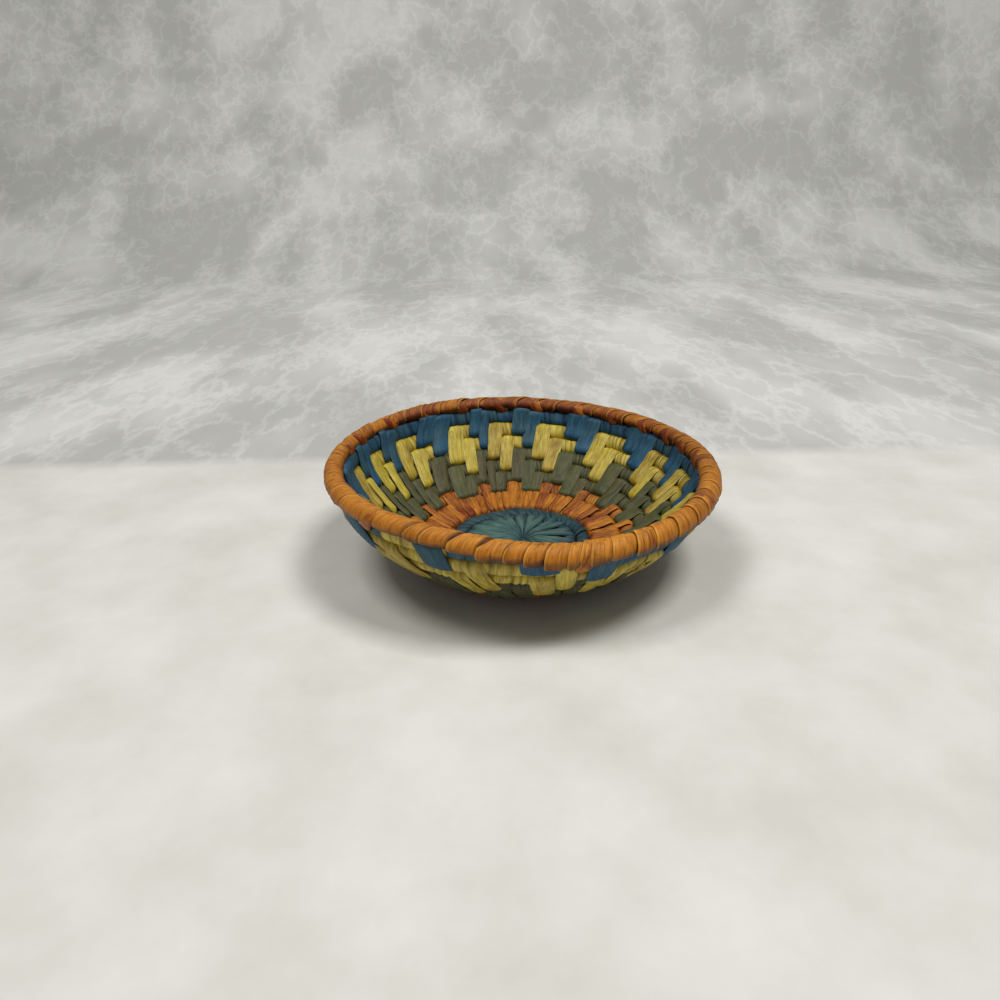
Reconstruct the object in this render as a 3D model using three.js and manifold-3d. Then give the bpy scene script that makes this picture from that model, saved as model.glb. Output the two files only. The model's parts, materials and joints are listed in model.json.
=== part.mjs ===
// A small coiled basket bowl: one spiral foundation coil, wrapped in flat dyed splints.
// Every third wrap is followed by a long stitch that reaches down over two older coils.
// Millimetres, +Z up. The bowl rests on the flat underside of its centre, and the origin
// is the middle of that resting side.
import Module from 'manifold-3d';
import * as THREE from 'three';

const wasm = await Module();
wasm.setup();

// Driving sizes
const COIL_PITCH = 4.93; // from one coil to the next, along the wall
const WALL_THICKNESS = 5.4; // through the wall, both long stitches included
const SPLINT_THICKNESS = 0.35;
const FIT_GAP = 0.3; // between any two pieces that lie against each other
const STITCH_EASE = 0.15; // how much further than the fit gap a long stitch stands off its coils
const RIM_RADIUS = 3.6;
const RIM_DEPTH = 1.05; // how far the rim reaches below its middle, down onto the last coil
const RIM_DROP = 0.885; // how much lower the rim's middle sits than one more coil would
const RIM_LEAN = 0.5; // how far the rim's middle leans outward of the wall's middle
const END_GAP = 0.4; // between the end of one splint and the start of the next
const RIM_WAVE = 0.87; // the size of the largest rise and fall of the hand-made rim
const KNOT_RADIUS = 1.9;
const PETAL_GAP = 0.2;

// Counts, in turns of the coil, and angles
const FIRST_TURN = 1; // the knot fills the first turn
const DISC_TURNS = 4; // coils under the centre stitches end here
const BORDER_TURNS = 5; // the plain teal border coil ends here
const ORANGE_TURNS = 8;
const GREY_TURNS = 11;
const YELLOW_TURNS = 13;
const BLUE_TURNS = 14; // the rim starts here
const LAST_TURN = 15;
const RIM_LENGTHS = 3;
const LENGTHS_PER_TURN = 2; // splints used up on each turn of the wall
const SLOTS_PER_TURN = 67; // one wrap or stitch each
const STITCH_EVERY = 4;
const FIRST_STITCH_SLOT = 1;
const LONG_REACH = 3; // coils under a long stitch
const SHORT_REACH = 2; // coils under the stitches that end at the border, or start at the rim
const PETALS_PER_STEP = 2; // centre stitches on each facet of the disc
const KNOT_SIDES = 16;
const COIL_SIDES = 6;
const RIM_SIDES = 8;
const DISC_STEPS = 12; // stations per turn, with straight facets between them
const WALL_STEPS = 16;
const RIM_STEPS = 24;
const START_ANGLE = THREE.MathUtils.degToRad(281.1); // where every turn begins and the rim ends

// Shares of the sizes that they follow
const stitchWidthShare = 0.66; // of a slot
const rimGrowthShares = [13.85, 14.05].map((turn) => turn / LAST_TURN);
const rimTaperShares = [14.8, 15].map((turn) => turn / LAST_TURN);
const rimSeatShares = [14.85, 14.9].map((turn) => turn / LAST_TURN);
const rimTipShare = 0.3;
const waveShares = [[-1, 0.93], [-0.12, -0.26], [0.23, -0.01]];

// The wall's slope, in degrees, at turns of the coil: flat under the centre, steep at the rim
const SLOPE_TURNS = [4.95, 5.55, 6.71, 8.17, 9.63, 11.08, 12.54, 14];
const SLOPES = [0, 15, 18.5, 31.8, 43.5, 44.3, 57.5, 79.5];
const PROFILE_STEPS = 800;
const PROFILE_TURNS = 16;

// Sizes worked out from the driving ones
const wallMiddle = WALL_THICKNESS / 2;
const coilHalfWidth = wallMiddle - SPLINT_THICKNESS - FIT_GAP - STITCH_EASE;
const coilHalfHeight = (COIL_PITCH - SPLINT_THICKNESS) / 2 - FIT_GAP;
const petalCount = DISC_STEPS * PETALS_PER_STEP;
const coreInset = (SPLINT_THICKNESS + FIT_GAP) / Math.cos(Math.PI / COIL_SIDES);
const inward = [1, -1]; // the way to a petal's middle from its first side and from its second

// Colours and finishes
const finishes = {
  foundation: { color: 0x8a7348, roughness: 0.95 },
  teal: { color: 0x3f6f78, roughness: 0.7 },
  orange: { color: 0xb5652a, roughness: 0.65 },
  grey_green: { color: 0x767a5c, roughness: 0.75 },
  yellow: { color: 0xc2b455, roughness: 0.65 },
  blue: { color: 0x2f6180, roughness: 0.7 },
  rim: { color: 0xc0712f, roughness: 0.6 },
};

// The wall's inner outline, walked in small steps from the middle of the bowl outward.
function traceProfile() {
  const step = (COIL_PITCH * PROFILE_TURNS) / PROFILE_STEPS;
  const points = [{ radius: 0, height: WALL_THICKNESS, slope: 0 }];
  for (let index = 1; index <= PROFILE_STEPS; index += 1) {
    const last = points[index - 1];
    const slope = slopeAt((index * step) / COIL_PITCH);
    points.push({
      radius: last.radius + step * Math.cos(last.slope),
      height: last.height + step * Math.sin(last.slope),
      slope,
    });
  }
  return points;
}

function slopeAt(turn) {
  const next = SLOPE_TURNS.findIndex((place) => turn < place);
  if (next === 0) return 0;
  if (next < 0) return THREE.MathUtils.degToRad(SLOPES[SLOPES.length - 1]);
  const share = (turn - SLOPE_TURNS[next - 1]) / (SLOPE_TURNS[next] - SLOPE_TURNS[next - 1]);
  return THREE.MathUtils.degToRad(THREE.MathUtils.lerp(SLOPES[next - 1], SLOPES[next], share));
}

const profile = traceProfile();

function profileAt(along) {
  const place = THREE.MathUtils.clamp(along / COIL_PITCH / PROFILE_TURNS, 0, 1) * PROFILE_STEPS;
  const index = Math.min(Math.floor(place), PROFILE_STEPS - 1);
  const [from, to] = [profile[index], profile[index + 1]];
  const share = place - index;
  return {
    radius: THREE.MathUtils.lerp(from.radius, to.radius, share),
    height: THREE.MathUtils.lerp(from.height, to.height, share),
    slope: THREE.MathUtils.lerp(from.slope, to.slope, share),
  };
}

// The rim isn't level: it rises and falls around the bowl, and the wall follows less and less.
function wave(angle, along) {
  const flatEnd = SLOPE_TURNS[0] * COIL_PITCH;
  const reach = BLUE_TURNS * COIL_PITCH - flatEnd;
  const share = THREE.MathUtils.clamp((along - flatEnd) / reach, 0, 1);
  const sum = waveShares.reduce((total, [cosine, sine], index) => {
    const order = index + 1;
    return total + cosine * Math.cos(order * angle) + sine * Math.sin(order * angle);
  }, 0);
  return RIM_WAVE * sum * share * share;
}

function angleOf(turn) {
  return START_ANGLE + turn * 2 * Math.PI;
}

// A point of the wall: along is measured from the middle outward, depth from the inner face.
function wallPoint(turn, along, depth) {
  const place = profileAt(along);
  const angle = angleOf(turn);
  const radius = place.radius + depth * Math.sin(place.slope);
  const height = place.height - depth * Math.cos(place.slope) + wave(angle, along);
  return new THREE.Vector3(radius * Math.cos(angle), radius * Math.sin(angle), height);
}

function stepsAt(turn) {
  if (turn < BORDER_TURNS) return DISC_STEPS;
  return turn < BLUE_TURNS ? WALL_STEPS : RIM_STEPS;
}

// The same point on the straight facets between the stations, which all pieces share.
function facetPoint(turn, rise, depth) {
  const steps = stepsAt(turn);
  const station = Math.floor(turn * steps);
  const [from, to] = [station / steps, (station + 1) / steps];
  const before = Math.sin((turn - from) * 2 * Math.PI);
  const after = Math.sin((to - turn) * 2 * Math.PI);
  const start = wallPoint(from, COIL_PITCH * from + rise, depth);
  const end = wallPoint(to, COIL_PITCH * to + rise, depth);
  return start.lerp(end, before / (before + after));
}

function turnsFor(length, turn) {
  return length / (2 * Math.PI * profileAt(COIL_PITCH * turn).radius);
}

function rimGrowth(turn) {
  return THREE.MathUtils.smoothstep(turn / LAST_TURN, ...rimGrowthShares);
}

function rimTaper(turn) {
  return 1 - (1 - rimTipShare) * THREE.MathUtils.smoothstep(turn / LAST_TURN, ...rimTaperShares);
}

// The outline of the wrapped coil at a turn: it swells into the rim, then tapers out.
function coilOutline(turn) {
  const growth = rimGrowth(turn);
  const taper = rimTaper(turn);
  const outline = {
    rise: -RIM_DROP * growth,
    depth: wallMiddle + RIM_LEAN * growth,
    halfWidth: THREE.MathUtils.lerp(coilHalfWidth, RIM_RADIUS, growth) * taper,
    above: THREE.MathUtils.lerp(coilHalfHeight, RIM_RADIUS, growth) * taper,
    below: THREE.MathUtils.lerp(coilHalfHeight, RIM_DEPTH, growth),
  };
  const seated = THREE.MathUtils.smoothstep(turn / LAST_TURN, ...rimSeatShares);
  if (seated > 0) {
    outline.rise = THREE.MathUtils.lerp(outline.rise, tailRise(turn, outline.below), seated);
  }
  return outline;
}

// Where no stitch passes below, the rim's tapered end lies right on the coil under it.
function tailRise(turn, below) {
  const under = coilOutline(turn - 1);
  return under.rise + under.above + FIT_GAP + below - COIL_PITCH;
}

// One ring of points around the coil, shrunk inward by the inset, but never past half its height.
function coilRing(turn, sides, inset) {
  const outline = coilOutline(turn);
  return Array.from({ length: sides }, (_, side) => {
    const angle = (side * 2 * Math.PI) / sides;
    const height = Math.sin(angle) > 0 ? outline.above : outline.below;
    const rise = outline.rise + Math.max(height - inset, height / 2) * Math.sin(angle);
    return facetPoint(turn, rise, outline.depth + (outline.halfWidth - inset) * Math.cos(angle));
  });
}

// Turns of the stations between two ends, with both ends.
function stationsBetween(start, end) {
  const turns = [start];
  for (let turn = Math.floor(start); turn < end; turn += 1) {
    const steps = stepsAt(turn);
    for (let step = 0; step < steps; step += 1) {
      const station = turn + step / steps;
      const spare = turnsFor(END_GAP, Math.max(station, start)) / 2;
      if (station > start + spare && station < end - spare) turns.push(station);
    }
  }
  return [...turns, end];
}

// The enclosed volume is positive where the faces point out.
function signedVolume(points, triangles) {
  const normal = new THREE.Vector3();
  return triangles.reduce((sum, [a, b, c]) => {
    normal.crossVectors(points[b], points[c]);
    return sum + points[a].dot(normal);
  }, 0);
}

function solidOf({ points, triangles }) {
  const outward = signedVolume(points, triangles) > 0;
  const faces = outward ? triangles : triangles.map(([a, b, c]) => [a, c, b]);
  return new wasm.Manifold(new wasm.Mesh({
    numProp: 3,
    vertProperties: new Float32Array(points.flatMap((point) => point.toArray())),
    triVerts: new Uint32Array(faces.flat()),
  }));
}

// The first surface and all that is joined to it, as one solid's geometry.
function joined([first, ...rest]) {
  const solid = rest.reduce((sum, surface) => sum.add(solidOf(surface)), solidOf(first));
  const { vertProperties, triVerts } = solid.getMesh();
  const geometry = new THREE.BufferGeometry();
  geometry.setAttribute('position', new THREE.Float32BufferAttribute(vertProperties, 3));
  geometry.setIndex([...triVerts]);
  return geometry;
}

// Two triangles for each gap between neighbouring rings, all the way round both.
function skinTriangles(rings, sides, closed) {
  const triangles = [];
  const last = closed ? rings : rings - 1;
  for (let ring = 0; ring < last; ring += 1) {
    const here = ring * sides;
    const there = ((ring + 1) % rings) * sides;
    for (let side = 0; side < sides; side += 1) {
      const next = (side + 1) % sides;
      triangles.push(...quad(here + side, here + next, there + next, there + side));
    }
  }
  return triangles;
}

function quad(a, b, c, d) {
  return [[a, b, c], [a, c, d]];
}

// A solid tube through the given rings, with flat ends.
function rodThrough(rings) {
  const sides = rings[0].length;
  const triangles = skinTriangles(rings.length, sides, false);
  const end = (rings.length - 1) * sides;
  for (let side = 1; side < sides - 1; side += 1) {
    triangles.push([0, side + 1, side], [end, end + side, end + side + 1]);
  }
  return { points: rings.flat(), triangles };
}

// An open-ended sleeve: its outer rings run out and its bore rings run back.
function sleeveThrough(outer, bore) {
  const sides = outer[0].length;
  const points = [...outer, ...bore].flat();
  const end = (outer.length - 1) * sides;
  const bores = outer.length * sides;
  const skin = skinTriangles(outer.length, sides, false);
  const lining = skin.map(([a, b, c]) => [a + bores, c + bores, b + bores]);
  const triangles = [...skin, ...lining];
  for (let side = 0; side < sides; side += 1) {
    const next = (side + 1) % sides;
    triangles.push(...quad(side, bores + side, bores + next, next));
    triangles.push(...quad(end + side, end + next, bores + end + next, bores + end + side));
  }
  return { points, triangles };
}

// A closed band: each corner gives its outer and inner edge on both sides of the band.
function bandThrough(corners) {
  return { points: corners.flat(), triangles: skinTriangles(corners.length, corners[0].length, true) };
}

function materialOf(finish) {
  return new THREE.MeshStandardMaterial({ ...finishes[finish], metalness: 0, flatShading: true });
}

function addPiece(group, name, finish, surfaces) {
  const mesh = new THREE.Mesh(joined(surfaces), materialOf(finish));
  mesh.name = name;
  group.add(mesh);
}

// The foundation coil: one unbroken tube from the knot to the rim's tapered end.
function addFoundation(group) {
  const turns = stationsBetween(FIRST_TURN + turnsFor(END_GAP, FIRST_TURN), LAST_TURN);
  const rings = turns.map((turn) => coilRing(turn, COIL_SIDES, coreInset));
  addPiece(group, 'foundation_coil', 'foundation', [rodThrough(rings)]);
  console.log(`Least gap of the foundation coil to itself: ${leastGap(turns, rings).toFixed(2)} mm`);
}

// The least distance between points of the coil that lie half a turn or more apart.
function leastGap(turns, rings) {
  let least = Infinity;
  for (let index = 0; index < rings.length; index += 1) {
    const apart = turns.findIndex((turn) => turn >= turns[index] + 1 / 2);
    const others = apart < 0 ? [] : rings.slice(apart).flat();
    for (const point of rings[index]) {
      for (const other of others) least = Math.min(least, point.distanceTo(other));
    }
  }
  return least;
}

// One length of splint wound along the coil between two turns.
function wraps(start, end, sides) {
  const turns = stationsBetween(start + turnsFor(END_GAP, start) / 2, end - turnsFor(END_GAP, end) / 2);
  const outer = turns.map((turn) => coilRing(turn, sides, 0));
  const bore = turns.map((turn) => coilRing(turn, sides, SPLINT_THICKNESS));
  return sleeveThrough(outer, bore);
}

// One long stitch: a band round the coil at a turn and the older coils inside it.
// Over its own coil it is seated in the wraps, because both are one splint.
function longStitch(turn, reach) {
  const oldest = turn - reach + 1;
  const middle = (COIL_PITCH * (reach - 1)) / 2;
  const clear = coilHalfHeight + FIT_GAP;
  const seat = (coilHalfHeight - SPLINT_THICKNESS / 2) * Math.sin(Math.PI / COIL_SIDES * 2);
  const [skin, far] = [SPLINT_THICKNESS, WALL_THICKNESS - SPLINT_THICKNESS];
  const corners = [
    bandCorner(turn, [clear + skin, 0], [seat, skin]),
    bandCorner(oldest, [-clear - skin, 0], [-clear, skin]),
    bandCorner(oldest, [-clear - skin, WALL_THICKNESS], [-clear, far]),
    bandCorner(oldest, [middle, WALL_THICKNESS], [middle, far]),
    bandCorner(turn, [clear + skin, WALL_THICKNESS], [seat, far]),
  ];
  return bandThrough(corners);
}

// The band's two outer and two inner edge points at one corner of its path.
function bandCorner(turn, outside, inside) {
  const half = stitchWidthShare / SLOTS_PER_TURN / 2;
  return [
    facetPoint(turn - half, ...outside),
    facetPoint(turn + half, ...outside),
    facetPoint(turn + half, ...inside),
    facetPoint(turn - half, ...inside),
  ];
}

// The long stitches that start on the coil between two turns, every fourth slot.
function longStitches(start, end, reach, shift) {
  const stitches = [];
  const spare = 1 / SLOTS_PER_TURN;
  for (let slot = FIRST_STITCH_SLOT; slot < SLOTS_PER_TURN * LAST_TURN; slot += STITCH_EVERY) {
    const turn = slot / SLOTS_PER_TURN - shift;
    if (turn > start + spare && turn < end - spare) stitches.push(longStitch(turn, reach));
  }
  return stitches;
}

// One centre stitch: a wedge-shaped strip from the knot round the disc's coils and back.
function petal(index) {
  const root = KNOT_RADIUS - SPLINT_THICKNESS;
  const clear = coilHalfHeight + FIT_GAP;
  const [skin, far] = [SPLINT_THICKNESS, WALL_THICKNESS - SPLINT_THICKNESS];
  const sides = [index, index + 1].map((edge) => DISC_TURNS - 1 + edge / petalCount);
  const legs = sides.map((turn, side) => {
    return facetRadius(turn + inward[side] * turnsFor(PETAL_GAP / 2, turn), clear);
  });
  return rodThrough([
    petalCorner(sides, [root, root], WALL_THICKNESS, [root, root], far),
    petalCorner(sides, legs.map((leg) => leg + skin), WALL_THICKNESS, legs, far),
    petalCorner(sides, legs.map((leg) => leg + skin), 0, legs, skin),
    petalCorner(sides, [root, root], 0, [root, root], skin),
  ]);
}

function facetRadius(turn, rise) {
  const point = facetPoint(turn, rise, 0);
  return Math.hypot(point.x, point.y);
}

function petalCorner(sides, outside, outsideHeight, inside, insideHeight) {
  return [
    petalPoint(sides, 0, outside, outsideHeight),
    petalPoint(sides, 1, outside, outsideHeight),
    petalPoint(sides, 1, inside, insideHeight),
    petalPoint(sides, 0, inside, insideHeight),
  ];
}

// A point half a petal gap inward from one side of the petal, at that side's radius.
function petalPoint(sides, side, radii, height) {
  const angle = angleOf(sides[side]) + (inward[side] * PETAL_GAP) / 2 / radii[side];
  return new THREE.Vector3(radii[side] * Math.cos(angle), radii[side] * Math.sin(angle), height);
}

// The splint's start, bound into a round knot that all the centre stitches pass through.
function knot() {
  const ring = (height) => Array.from({ length: KNOT_SIDES }, (_, side) => {
    const angle = (side * 2 * Math.PI) / KNOT_SIDES;
    return new THREE.Vector3(KNOT_RADIUS * Math.cos(angle), KNOT_RADIUS * Math.sin(angle), height);
  });
  return rodThrough([ring(0), ring(WALL_THICKNESS)]);
}

function addCentre(group) {
  const petals = Array.from({ length: petalCount }, (_, index) => petal(index));
  addPiece(group, 'centre_knot_and_petals', 'teal', [knot(), ...petals]);
}

// The teal splints of the disc, without long stitches.
function addDisc(group) {
  const start = FIRST_TURN + turnsFor(END_GAP, FIRST_TURN);
  addPiece(group, 'teal_disc_splint', 'teal', [wraps(start, DISC_TURNS, COIL_SIDES)]);
  addPiece(group, 'teal_border_splint', 'teal', [wraps(DISC_TURNS, BORDER_TURNS, COIL_SIDES)]);
}

// The splints of the wall: each length ends, and the next starts, at an even share of a turn.
function addWall(group) {
  const bands = [
    ['orange', BORDER_TURNS, ORANGE_TURNS],
    ['grey_green', ORANGE_TURNS, GREY_TURNS],
    ['yellow', GREY_TURNS, YELLOW_TURNS],
  ];
  bands.forEach(([finish, first, end]) => {
    for (let length = 0; length < (end - first) * LENGTHS_PER_TURN; length += 1) {
      const start = first + length / LENGTHS_PER_TURN;
      const reach = Math.min(LONG_REACH, Math.floor(start) - BORDER_TURNS + 1);
      addSplint(group, `${finish}_splint_${length + 1}`, finish, start, start + 1 / LENGTHS_PER_TURN, reach);
    }
  });
}

function addSplint(group, name, finish, start, end, reach, extra = []) {
  const stitches = reach < SHORT_REACH ? [] : longStitches(start, end, reach, 0);
  addPiece(group, name, finish, [wraps(start, end, COIL_SIDES), ...stitches, ...extra]);
}

// The blue splints of the wall's last coil. The stitches of the coil inside the rim are blue
// too: they come out from under the rim, round the last two coils of the wall.
function addBlue(group) {
  const end = rimGrowthShares[0] * LAST_TURN;
  const length = (end - YELLOW_TURNS) / LENGTHS_PER_TURN;
  for (let index = 0; index < LENGTHS_PER_TURN; index += 1) {
    const from = YELLOW_TURNS + index * length;
    const fromRim = longStitches(from, from + length, SHORT_REACH, 1);
    addSplint(group, `blue_splint_${index + 1}`, 'blue', from, from + length, LONG_REACH, fromRim);
  }
}

// The rim: the coil's last turn, fatter, wrapped in broad splints in three lengths.
function addRim(group) {
  const start = rimGrowthShares[0] * LAST_TURN;
  const length = (LAST_TURN - start) / RIM_LENGTHS;
  for (let index = 0; index < RIM_LENGTHS; index += 1) {
    const from = start + index * length;
    addPiece(group, `rim_splint_${index + 1}`, 'rim', [wraps(from, from + length, RIM_SIDES)]);
  }
}

// The middle of the resting side becomes the origin.
function centred(group) {
  const box = new THREE.Box3().setFromObject(group);
  const middle = box.getCenter(new THREE.Vector3());
  group.position.set(-middle.x, -middle.y, 0);
  return group;
}

function buildBasket() {
  const group = new THREE.Group();
  addFoundation(group);
  addCentre(group);
  addDisc(group);
  addWall(group);
  addBlue(group);
  addRim(group);
  return centred(group);
}

export default buildBasket();
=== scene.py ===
"""Looks of a small coiled basket bowl, wound and stitched in flat dyed splints.

One foundation coil of grass runs in a spiral from a knot at the centre to the rim. Flat splints
wrap it, and after every third wrap one long stitch reaches down over the two older coils. All
sizes are in metres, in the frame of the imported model.
"""
import json
import logging
import math
import random
from collections.abc import Callable, Sequence
from dataclasses import dataclass, field, replace
from enum import Enum

import bmesh
import bpy
import numpy as np
from mathutils import Matrix, Vector


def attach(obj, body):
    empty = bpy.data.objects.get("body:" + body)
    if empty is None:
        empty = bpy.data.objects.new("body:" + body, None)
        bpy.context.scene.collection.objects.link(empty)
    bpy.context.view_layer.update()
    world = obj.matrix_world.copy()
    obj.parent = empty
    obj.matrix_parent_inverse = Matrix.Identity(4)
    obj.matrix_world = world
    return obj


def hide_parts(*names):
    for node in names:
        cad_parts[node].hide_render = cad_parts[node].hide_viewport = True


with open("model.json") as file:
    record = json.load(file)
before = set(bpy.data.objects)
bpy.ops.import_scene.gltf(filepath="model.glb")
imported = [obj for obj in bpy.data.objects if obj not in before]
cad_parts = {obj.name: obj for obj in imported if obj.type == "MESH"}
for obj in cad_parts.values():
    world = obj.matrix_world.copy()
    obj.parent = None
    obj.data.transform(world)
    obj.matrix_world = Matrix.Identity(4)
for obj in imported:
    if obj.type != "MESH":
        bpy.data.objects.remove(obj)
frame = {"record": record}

Array = np.ndarray
Number = np.ndarray | float
Row = tuple[float, ...]
Pair = tuple[float, float]
Point = tuple[float, float, float]
Colour = tuple[float, float, float, float]
Faces = tuple[int, int]
Inputs = dict[str | int, object]
Material = bpy.types.Material
Socket = bpy.types.NodeSocket
ShareOf = Callable[[np.ndarray], np.ndarray]
SectionOf = Callable[[np.ndarray, float], np.ndarray]

log = logging.getLogger("coiled_basket")

MM = 0.001
SECTION_STEPS = 96
ROD_SIDES = 6
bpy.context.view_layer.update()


class Dye(Enum):
    """The record's material slot of each kind of splint, and of the grass inside."""

    GRASS = "foundation_grass"
    TEAL = "teal_splint"
    ORANGE = "orange_splint"
    GREY_GREEN = "grey_green_splint"
    YELLOW = "yellow_splint"
    BLUE = "blue_splint"
    RIM = "rim_splint"


class Wrapping(Enum):
    """What lies over the coil in one slot of a turn, by the slot's place in each four."""

    BARE = 0
    LONG_STITCH = 1
    UNDER_NEXT_ROW = 2
    UNDER_SECOND_ROW = 3


def smooth_step(value: Number, low: float, high: float) -> Number:
    """How far a value has risen from low to high, smoothly, from 0 to 1."""
    share = np.clip((value - low) / (high - low), 0.0, 1.0)
    return share * share * (3.0 - 2.0 * share)


def ring_of_places(angles_deg: Sequence[float], values: Sequence[float], at: Number) -> Number:
    """Reads a value that is known at a few places round the bowl, smoothly and without a seam.

    Args:
        angles_deg: Rising angles of the places, in degrees from 0 to 360.
        values: The value at each place.
        at: The angles to read at, in radians.

    Returns:
        The value at each angle.
    """
    turned = np.degrees(at) % 360.0
    known, table = np.array(angles_deg), np.array(values)
    following = np.searchsorted(known, turned) % len(known)
    leading = (following - 1) % len(known)
    gap = (known[following] - known[leading]) % 360.0
    share = smooth_step(((turned - known[leading]) % 360.0) / gap, 0.0, 1.0)
    return table[leading] * (1.0 - share) + table[following] * share


@dataclass(frozen=True)
class CoilPath:
    """The spiral that all pieces follow, and the shape of the wall that it builds."""

    pole: Pair
    pitch: float = 4.93 * MM
    wall: float = 5.4 * MM
    start_deg: float = 281.1
    slots: int = 67
    disc_turns: float = 4.0
    border_turns: float = 5.0
    orange_turns: float = 8.0
    grey_turns: float = 11.0
    yellow_turns: float = 13.0
    blue_turns: float = 14.0
    slope_turns: Row = (4.95, 5.55, 6.71, 8.17, 9.63, 11.08, 12.54, 14.0)
    slopes_deg: Row = (0.0, 15.0, 18.5, 31.8, 43.5, 44.3, 57.5, 79.5)
    rim_wave: float = 0.87 * MM
    wave_shares: tuple[Pair, ...] = ((-1.0, 0.93), (-0.12, -0.26), (0.23, -0.01))
    drift_at_deg: Row = (
        13.5, 35.0, 56.5, 78.0, 99.5, 121.0, 142.5, 164.0, 185.5, 215.0, 245.0, 285.0, 320.0,
    )
    drift_deg: Row = (-6.5, -9.0, -3.5, 0.5, 0.0, -4.5, 1.0, -4.0, -9.5, -2.0, 5.0, 7.0, -2.0)
    profile_steps: int = 1600
    profile_turns: float = 17.0
    profile: Array = field(init=False, repr=False)

    def __post_init__(self) -> None:
        """Walks the wall's inner outline outward in small steps."""
        along = np.linspace(0.0, self.profile_turns * self.pitch, self.profile_steps)
        slopes = np.radians(np.interp(along / self.pitch, self.slope_turns, self.slopes_deg))
        step = along[1]
        radius = np.concatenate(([0.0], np.cumsum(np.cos(slopes[:-1]) * step)))
        height = self.wall + np.concatenate(([0.0], np.cumsum(np.sin(slopes[:-1]) * step)))
        object.__setattr__(self, "profile", np.stack([along, radius, height, slopes]))

    def wave(self, angle: Array, along: Array) -> Array:
        """The rise and fall of the hand-made rim, which the wall follows less and less.

        Args:
            angle: Angle round the bowl, in radians.
            along: Distance along the wall from its middle.

        Returns:
            The height to add.
        """
        flat_end = self.slope_turns[0] * self.pitch
        share = np.clip((along - flat_end) / (self.blue_turns * self.pitch - flat_end), 0.0, 1.0)
        total = np.zeros_like(angle)
        for order, (cosine, sine) in enumerate(self.wave_shares, start=1):
            total = total + cosine * np.cos(order * angle) + sine * np.sin(order * angle)
        return self.rim_wave * total * share**2

    def drift(self, angle: Number) -> Number:
        """How far the maker's uneven slots are ahead at an angle in radians, in degrees."""
        return ring_of_places(self.drift_at_deg, self.drift_deg, angle)

    def angle(self, turn: Number) -> Number:
        """The angle round the bowl at a turn, with the maker's uneven spacing, in radians."""
        regular = np.radians(self.start_deg) + turn * math.tau
        ease = smooth_step(turn, self.border_turns, self.orange_turns)
        return regular + np.radians(self.drift(regular)) * ease

    def degrees_at(self, turn: float) -> float:
        """The angle round the bowl at a turn, in degrees from 0 to 360."""
        return math.degrees(float(self.angle(turn))) % 360.0

    def turn_near(self, angle_deg: float, coil: float) -> float:
        """The turn at an angle round the bowl, on the coil that starts with a whole turn."""
        drift = float(self.drift(math.radians(angle_deg)))
        return coil + ((angle_deg - drift - self.start_deg) % 360.0) / 360.0

    def radius(self, turn: float) -> float:
        """How far the coil's middle is from the pole at a turn."""
        return float(np.interp(turn * self.pitch, self.profile[0], self.profile[1]))

    def turns_for(self, length: float, turn: float) -> float:
        """The part of a turn that a length along the coil takes."""
        return length / (math.tau * self.radius(turn))

    def place(self, turn: Array, along: Array, depth: Array) -> Array:
        """Points of the wall.

        Args:
            turn: Turn of the coil, which sets the angle.
            along: Distance along the wall from its middle outward.
            depth: Distance into the wall from its inner face.

        Returns:
            One row of x, y and z for each point.
        """
        radius, height, slope = (np.interp(along, self.profile[0], row) for row in self.profile[1:])
        angle = self.angle(turn)
        out = radius + depth * np.sin(slope)
        up = height - depth * np.cos(slope) + self.wave(angle, along)
        return np.stack([self.pole[0] + out * np.cos(angle), self.pole[1] + out * np.sin(angle), up], axis=1)


@dataclass(frozen=True)
class Outline:
    """A closed outline across the coils, walked at an even pace from its first point."""

    rise: Array
    depth: Array
    share: Array
    length: float

    @classmethod
    def through(cls, rise: Array, depth: Array) -> "Outline":
        """Makes the outline through points, which need not be evenly spaced.

        Args:
            rise: Distance along the wall of each point.
            depth: Distance into the wall of each point.

        Returns:
            The closed outline.
        """
        closed_rise, closed_depth = np.append(rise, rise[0]), np.append(depth, depth[0])
        steps = np.hypot(np.diff(closed_rise), np.diff(closed_depth))
        walked = np.concatenate(([0.0], np.cumsum(steps)))
        return cls(closed_rise, closed_depth, walked / walked[-1], float(walked[-1]))

    @classmethod
    def oval(cls, half_height: float, half_width: float, squareness: float = 2.4) -> "Outline":
        """An oval, from its top and over the inner face, squarer as its exponent grows.

        Args:
            half_height: Half its size along the wall.
            half_width: Half its size through the wall.
            squareness: The exponent, 2 for an ellipse.

        Returns:
            The closed outline.
        """
        turn = np.linspace(0.0, math.tau, SECTION_STEPS, endpoint=False)
        power = 2.0 / squareness
        rise = half_height * np.sign(np.cos(turn)) * np.abs(np.cos(turn)) ** power
        depth = -half_width * np.sign(np.sin(turn)) * np.abs(np.sin(turn)) ** power
        return cls.through(rise, depth)

    @classmethod
    def from_top(cls, rise: Sequence[Array], depth: Sequence[Array], top: int) -> "Outline":
        """Joins stretches in an outline that starts at its top, this many points before their end."""
        first = sum(len(stretch) for stretch in rise) - top
        return cls.through(np.roll(np.concatenate(rise), -first), np.roll(np.concatenate(depth), -first))

    def at(self, share: Array) -> tuple[Array, Array, Array, Array]:
        """Points of the outline and its outward direction there.

        Args:
            share: How far round, from 0 to 1.

        Returns:
            The rise, the depth, and the outward direction's rise and depth.
        """
        small = 0.004
        (rise, depth), ahead, behind = (
            [np.interp(near % 1.0, self.share, values) for values in (self.rise, self.depth)]
            for near in (share, share + small, share - small)
        )
        rise_way, depth_way = ahead[0] - behind[0], ahead[1] - behind[1]
        size = np.maximum(np.hypot(rise_way, depth_way), 1e-12)
        return rise, depth, -depth_way / size, rise_way / size


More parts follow.
